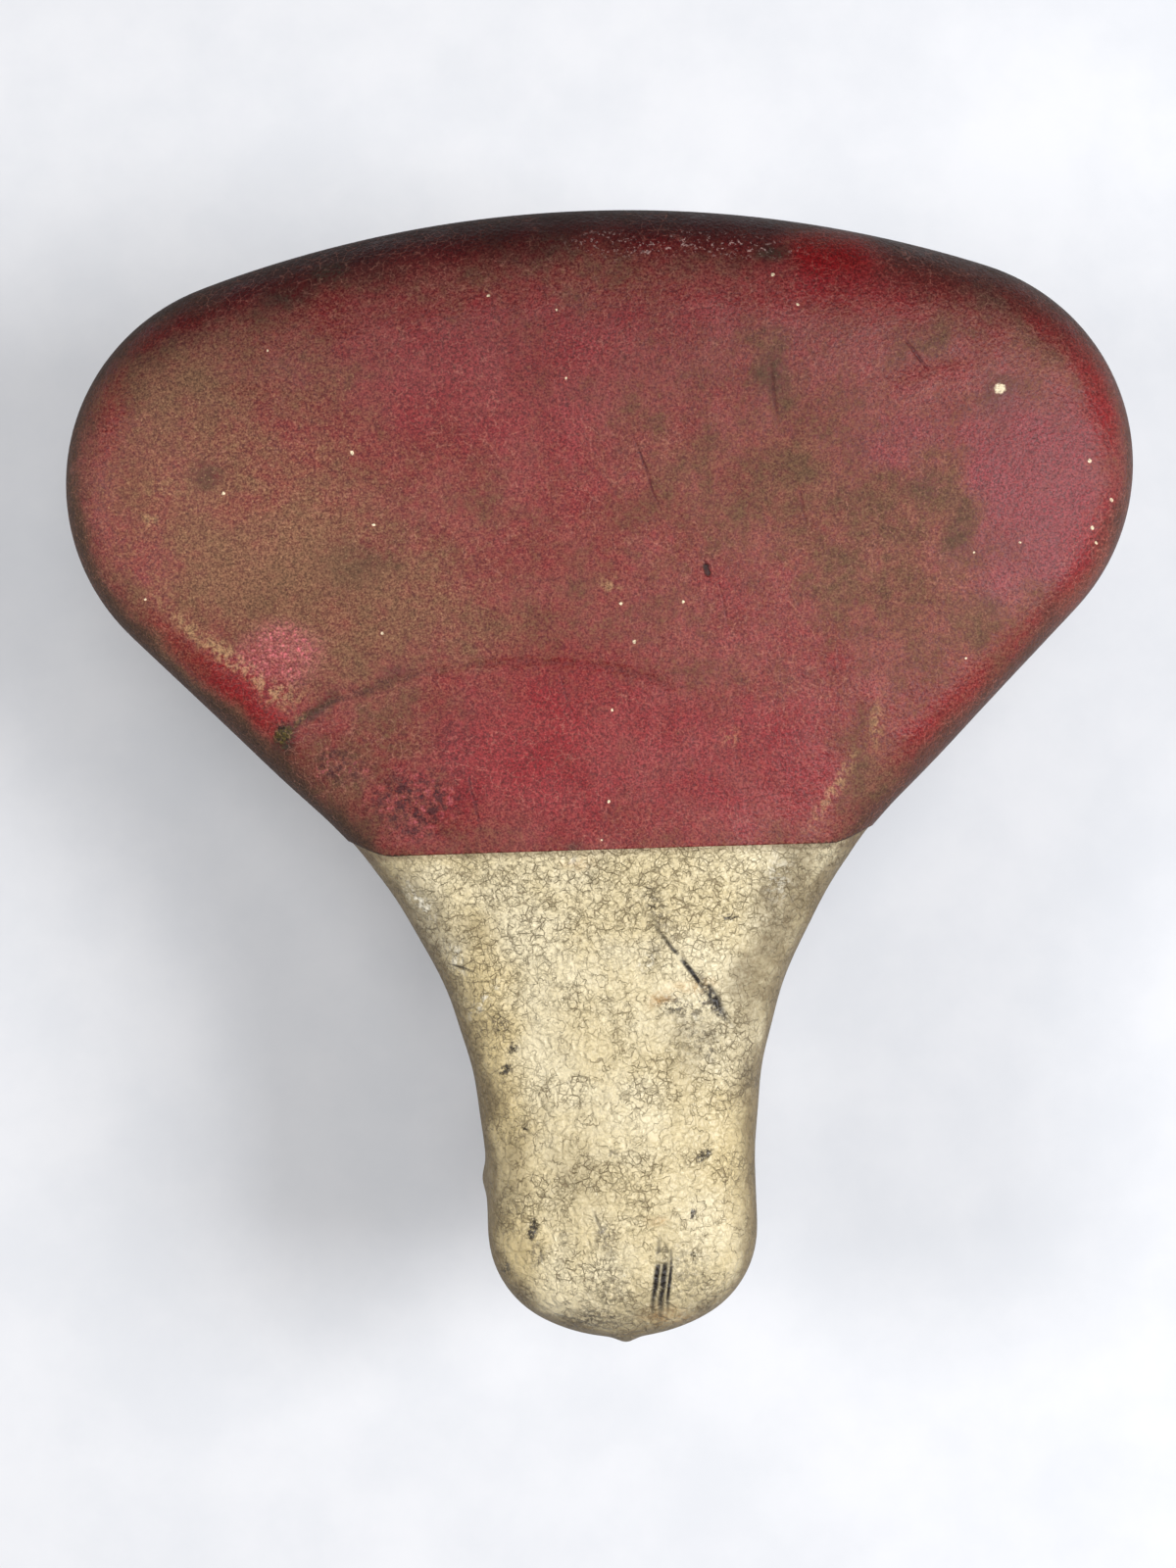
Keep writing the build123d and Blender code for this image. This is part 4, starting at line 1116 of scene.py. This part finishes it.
# ---------------------------------------------------------------- cream vinyl
def cream_vinyl():
    """Yellowed cream vinyl with a net of dark cracks, scuffs and smears of dirt."""
    p = Paint("cream_vinyl")
    cloud = p.noise(22.0, 4.0, 0.6)
    mottle = p.noise(5.0, 5.0, 0.66)
    fleck = p.noise(1.4, 5.0, 0.7)
    grain = p.noise(0.6, 2.0, 0.6)
    colour = p.mix(p.step(cloud, 0.38, 0.62), srgb(233, 219, 182), srgb(218, 201, 158))
    yellow = p.mask("yellow")
    colour = p.mix(yellow, colour, srgb(212, 188, 130))

    bend = p.warp(1.0, 1.5)
    wide = p.step(p.cells(2.0, "DISTANCE_TO_EDGE", bend), 0.0, 0.075, 1.0, 0.0)
    thin = p.step(p.cells(1.0, "DISTANCE_TO_EDGE", bend), 0.0, 0.1, 1.0, 0.0)
    long = p.line_net(4.2, 0.014, p.warp(1.6, 2.6))
    gaps = p.step(p.noise(1.8, 4.0, 0.65), 0.38, 0.56)
    worn = p.most(p.step(p.noise(13.0, 4.0, 0.6), 0.44, 0.62), p.mask("crackled"))
    cracks = p.most(p.times(wide, gaps), p.times(p.times(thin, gaps), 0.55))
    cracks = p.times(cracks, p.step(worn, 0.0, 1.0, 0.22, 1.0))
    cracks = p.most(cracks, p.times(long, p.step(mottle, 0.42, 0.58, 0.2, 0.75)))
    colour = p.mix(p.times(cracks, 0.8), colour, srgb(100, 80, 48))

    film = p.add(p.centred(mottle, 0.42), p.add(p.centred(fleck, 0.5), p.centred(grain, 0.5)))
    # a brown dirt film, with painted shade on the side walls and shoulders, the right side and the nose tip
    dirt_and_shade_places = p.most(edge_band(p, 0.42, 0.97, 0.35), p.mask("dirt_and_shade_places"))
    dirt_and_shade = p.step(p.add(film, p.times(dirt_and_shade_places, 1.15)), 0.0, 1.2)
    colour = p.mix(p.times(dirt_and_shade, 0.84), colour, srgb(104, 86, 56))
    # painted shade: the side walls darkened where they face sideways and down
    wall_shade = p.step(p.up, 0.1, 0.5, 1.0, 0.0)
    colour = p.mix(p.times(wall_shade, 0.55), colour, srgb(92, 76, 50))

    smudges = p.mask("smudges")
    smudges = p.times(smudges, p.step(p.noise(1.1, 5.0, 0.75), 0.44, 0.56))
    colour = p.mix(p.times(smudges, 0.9), colour, srgb(68, 57, 43))
    # painted highlights: white glints on the shoulders, and two small pale specks
    glints_and_specks = p.mask("glints_and_specks")
    colour = p.mix(p.times(glints_and_specks, p.step(fleck, 0.48, 0.6)), colour, srgb(250, 242, 220))

    spots = p.patches(
        p.warp(2.6, 0.8),
        (-21.8, -56, 2.2, 2.0, 0, 0.4, 0.9),
        (-23.4, -60.4, 2.6, 1.8, 30, 0.4, 0.95),
        (-18.8, -93.6, 2.0, 4.6, -14, 0.4, 0.95),
        (17.4, -79.4, 4.2, 1.8, 35, 0.4, 0.9),
        (14.8, -91.2, 1.0, 2.0, -15, 0.4, 0.95),
        (24.5, -30, 3.6, 0.8, 0, 0.4, 0.95),
        (-1.6, -78, 2.2, 2.0, 0, 0.5, 0.55),
        (-24.6, -102.5, 1.6, 2.2, 0, 0.5, 0.8),
        (-19.9, -72.8, 1.0, 1.0, 0, 0.4, 0.9),
        (14.3, -99.6, 1.0, 1.2, 0, 0.4, 0.8),
        (21.4, -49.2, 1.8, 5.0, 35, 0.5, 0.85),
    )
    spots = p.times(spots, p.step(p.noise(0.8, 4.0, 0.75), 0.38, 0.5))
    colour = p.mix(spots, colour, srgb(42, 31, 20))
    rust = p.mask("rust")
    rust = p.times(rust, p.step(fleck, 0.4, 0.58, 0.25, 1.0))
    colour = p.mix(rust, colour, srgb(178, 134, 76))

    lines = scratches(
        p,
        (9.5, -32.5, 23, -51, 1.0, 1.0),
        (17.5, -42, 22.5, -50, 2.2, 1.0),
        (7.4, -97, 5.6, -111, 1.2, 1.0),
        (8.7, -98, 7.1, -112, 1.4, 1.0),
        (9.9, -99, 8.6, -111, 0.8, 1.0),
        (-35, -38, -30, -39.5, 0.5, 0.8),
        (-6, -90, -4, -96, 0.6, 0.5),
    )
    colour = p.mix(lines, colour, srgb(34, 26, 18))
    colour = p.shade(colour, p.step(p.add(grain, p.times(fleck, 0.5)), 0.5, 1.0, 0.8, 1.1))
    # painted shadow: a dark strip on the cream just in front of the seam, under the red panel's edge
    seam_shadow = p.step(p.y, SEAM_Y - 1.8, SEAM_Y - 0.3)
    colour = p.mix(p.times(seam_shadow, 0.45), colour, srgb(96, 70, 46))

    pebble = p.cells(1.1, "F1", p.warp(0.6, 1.0))
    rolling = p.noise(4.5, 3.0, 0.55)
    wrinkles = p.step(p.cells(2.6, "DISTANCE_TO_EDGE", p.warp(2.4, 2.4)), 0.0, 0.3)
    normal = p.relief((pebble, 0.08), (cracks, -0.25), (wrinkles, 0.3), (rolling, 0.35), (lines, -0.2))
    rough = p.add(p.step(dirt_and_shade, 0.0, 0.8, 0.38, 0.62), p.centred(fleck, 0.12))
    return p.finish(colour, rough, normal)


# ---------------------------------------------------------------- hidden and metal parts
def foam():
    """Yellowed open foam with a felt face."""
    p = Paint("foam")
    pores = p.cells(1.4, "F1", p.warp(0.6, 1.0))
    cloud = p.noise(18.0, 4.0, 0.6)
    colour = p.mix(p.step(cloud, 0.3, 0.7), srgb(206, 180, 118), srgb(176, 142, 84))
    # painted shade in the pores' hollows
    colour = p.mix(p.step(pores, 0.15, 0.5, 0.6, 0.0), colour, srgb(110, 84, 46))
    normal = p.relief((pores, 0.45))
    return p.finish(colour, p.step(cloud, 0.2, 0.8, 0.85, 0.98), normal)


def enamel(name):
    """Black stove enamel, dulled, chipped through to rust."""
    p = Paint(name)
    cloud = p.noise(14.0, 5.0, 0.62)
    chips = p.step(p.noise(4.0, 6.0, 0.72), 0.6, 0.66)
    chips = p.times(chips, p.step(cloud, 0.4, 0.6))
    fine = p.noise(1.1, 4.0, 0.65)
    black = p.mix(p.step(cloud, 0.35, 0.7), srgb(30, 30, 31), srgb(58, 55, 50))
    dust = p.mix(p.step(p.noise(7.0, 5.0, 0.66), 0.48, 0.74, 0.0, 0.6), black, srgb(112, 100, 84))
    rust = p.mix(p.step(fine, 0.35, 0.65), srgb(74, 40, 24), srgb(132, 74, 38))
    colour = p.mix(chips, dust, rust)
    rough = p.add(p.step(cloud, 0.3, 0.7, 0.36, 0.58), p.times(chips, 0.35))
    return p.finish(colour, rough, p.relief((chips, -0.08), (fine, 0.02)))


def plated(name, bright, dull, shine, rusty):
    """Bright plate that has dulled and freckled with rust."""
    p = Paint(name)
    cloud = p.noise(11.0, 5.0, 0.62)
    fine = p.noise(0.8, 4.0, 0.65)
    pits = p.step(p.noise(2.0, 6.0, 0.74), rusty, rusty + 0.05)
    pits = p.times(pits, p.step(p.noise(13.0, 3.0, 0.6), 0.42, 0.6))
    bloom = p.step(p.noise(6.0, 5.0, 0.68), 0.5, 0.72, 0.0, 0.55)
    metal = p.mix(p.step(cloud, 0.3, 0.7), bright, dull)
    metal = p.mix(bloom, metal, srgb(126, 112, 92))
    rust = p.mix(p.step(fine, 0.35, 0.65), srgb(78, 42, 24), srgb(140, 80, 42))
    colour = p.mix(pits, metal, rust)
    rough = p.add(p.step(cloud, 0.3, 0.75, shine, shine + 0.22), p.times(bloom, 0.2))
    rough = p.mix_value(pits, rough, 0.85)
    metallic = p.mix_value(pits, p.step(bloom, 0.0, 0.55, 1.0, 0.75), 0.05)
    return p.finish(colour, rough, p.relief((pits, 0.05), (fine, 0.012)), metallic)


chrome_bright, chrome_dull = srgb(206, 205, 200), srgb(168, 164, 154)
zinc_bright, zinc_dull = srgb(186, 184, 176), srgb(140, 134, 122)
materials = {
    "red_vinyl": red_vinyl(),
    "cream_vinyl": cream_vinyl(),
    "padding": foam(),
    "pan_steel": enamel("pan_enamel"),
    "bridge_steel": enamel("bridge_enamel"),
    "bracket_steel": enamel("bracket_enamel"),
    "hem_wire": plated("wire_steel", zinc_dull, srgb(112, 104, 92), 0.45, 0.52),
    "hem_clips": plated("clip_steel", zinc_bright, zinc_dull, 0.38, 0.56),
    "rivet_steel": plated("rivet_plate", zinc_bright, zinc_dull, 0.34, 0.58),
    "cup_steel": plated("cup_chrome", chrome_bright, chrome_dull, 0.16, 0.6),
    "spring_steel": plated("spring_chrome", chrome_bright, chrome_dull, 0.14, 0.6),
    "rail_steel": plated("rail_chrome", chrome_bright, chrome_dull, 0.12, 0.62),
    "tie_steel": plated("tie_chrome", chrome_bright, chrome_dull, 0.18, 0.6),
    "spring_bolt_steel": plated("bolt_zinc", zinc_bright, zinc_dull, 0.36, 0.56),
    "spring_nut_steel": plated("nut_zinc", zinc_bright, zinc_dull, 0.34, 0.56),
    "grip_steel": plated("grip_zinc", zinc_bright, zinc_dull, 0.3, 0.6),
    "band_steel": plated("band_zinc", zinc_bright, zinc_dull, 0.28, 0.6),
    "cross_bolt_steel": plated("thread_zinc", zinc_bright, zinc_dull, 0.36, 0.56),
    "clamp_nut_steel": plated("clamp_nut_zinc", zinc_bright, zinc_dull, 0.3, 0.58),
    "washer_steel": plated("washer_zinc", zinc_bright, zinc_dull, 0.32, 0.58),
}

for part in frame["record"]["subparts"]:
    node = frame["nodes"][part["node"]]
    for index in range(len(node.material_slots)):
        node.material_slots[index].material = materials[part["material_slot"]]


def dress(piece, slot, body, nodes):
    """Gives a new piece its material, its body and the CAD nodes that it stands for."""
    piece.data.materials.clear()
    piece.data.materials.append(materials[slot])
    if body:
        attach(piece, body)
        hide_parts(*nodes)


dress(red_cover, "red_vinyl", "seat_top", ["cover_rear_panel"])
dress(cream_cover, "cream_vinyl", "seat_top", ["cover_nose_panel"])
dress(padding, "padding", "seat_top", ["foam_padding"])
for piece in springs:
    dress(piece, "spring_steel", None, [])

# ---------------------------------------------------------------- floor, light and camera
FLOOR_GAP = 0.2
bpy.ops.mesh.primitive_plane_add(size=6, location=(0, 0, (FLOOR_Z - FLOOR_GAP) * MM))
floor = bpy.context.object
floor.name = "floor"
paper = Paint("floor_paper")
fibre = paper.noise(45.0, 5.0, 0.6)
tone = paper.mix(paper.step(fibre, 0.3, 0.7), srgb(226, 227, 231), srgb(218, 220, 225))
floor.data.materials.append(paper.finish(tone, 0.9))

world = bpy.data.worlds.new("studio")
world.use_nodes = True
tree = world.node_tree
sky = tree.nodes["Background"]
sky.inputs["Color"].default_value = (0.88, 0.92, 1.0, 1)
# the far background shows paler than the world lights the saddle, so that side views stay pale
seen = tree.nodes.new("ShaderNodeLightPath").outputs["Is Camera Ray"]
level = tree.nodes.new("ShaderNodeMapRange")
tree.links.new(seen, level.inputs["Value"])
level.inputs["To Min"].default_value = 0.12
level.inputs["To Max"].default_value = 0.36
tree.links.new(level.outputs[0], sky.inputs["Strength"])
bpy.context.scene.world = world


def softbox(name, spot, size, power, colour=(1, 1, 1)):
    """A square area light that looks at the saddle's middle."""
    data = bpy.data.lights.new(name, "AREA")
    data.size = size
    data.energy = power
    data.color = colour
    light = bpy.data.objects.new(name, data)
    light.location = spot
    light.rotation_euler = (Vector((0, 0, 0.05)) - Vector(spot)).to_track_quat("-Z", "Y").to_euler()
    bpy.context.scene.collection.objects.link(light)


softbox("right_window", (0.7, -0.05, 0.75), 0.45, 9.0)
softbox("left_window", (-0.8, 0.0, 0.75), 0.4, 4.9, (1, 0.98, 0.95))
# a broad sun from above, so that the floor is lit evenly to its far edge
ceiling_data = bpy.data.lights.new("ceiling", "SUN")
ceiling_data.energy = 1.0
ceiling_data.angle = radians(30)
ceiling = bpy.data.objects.new("ceiling", ceiling_data)
ceiling.rotation_euler = (0, radians(4), 0)
bpy.context.scene.collection.objects.link(ceiling)

camera_data = bpy.data.cameras.new("camera")
camera_data.lens = 53.2
camera = bpy.data.objects.new("camera", camera_data)
bpy.context.scene.collection.objects.link(camera)
middle_x = (cad_box[0].x + cad_box[1].x) / 2
middle_y = (cad_box[0].y + cad_box[1].y) / 2
place = Matrix.Translation((middle_x - 0.0045, middle_y - 0.0225, 0.56))
camera.matrix_world = place @ Matrix.Rotation(radians(2.4), 4, "X") @ Matrix.Rotation(radians(-1.75), 4, "Z")
bpy.context.scene.camera = camera
bpy.context.scene.view_settings.view_transform = "Standard"
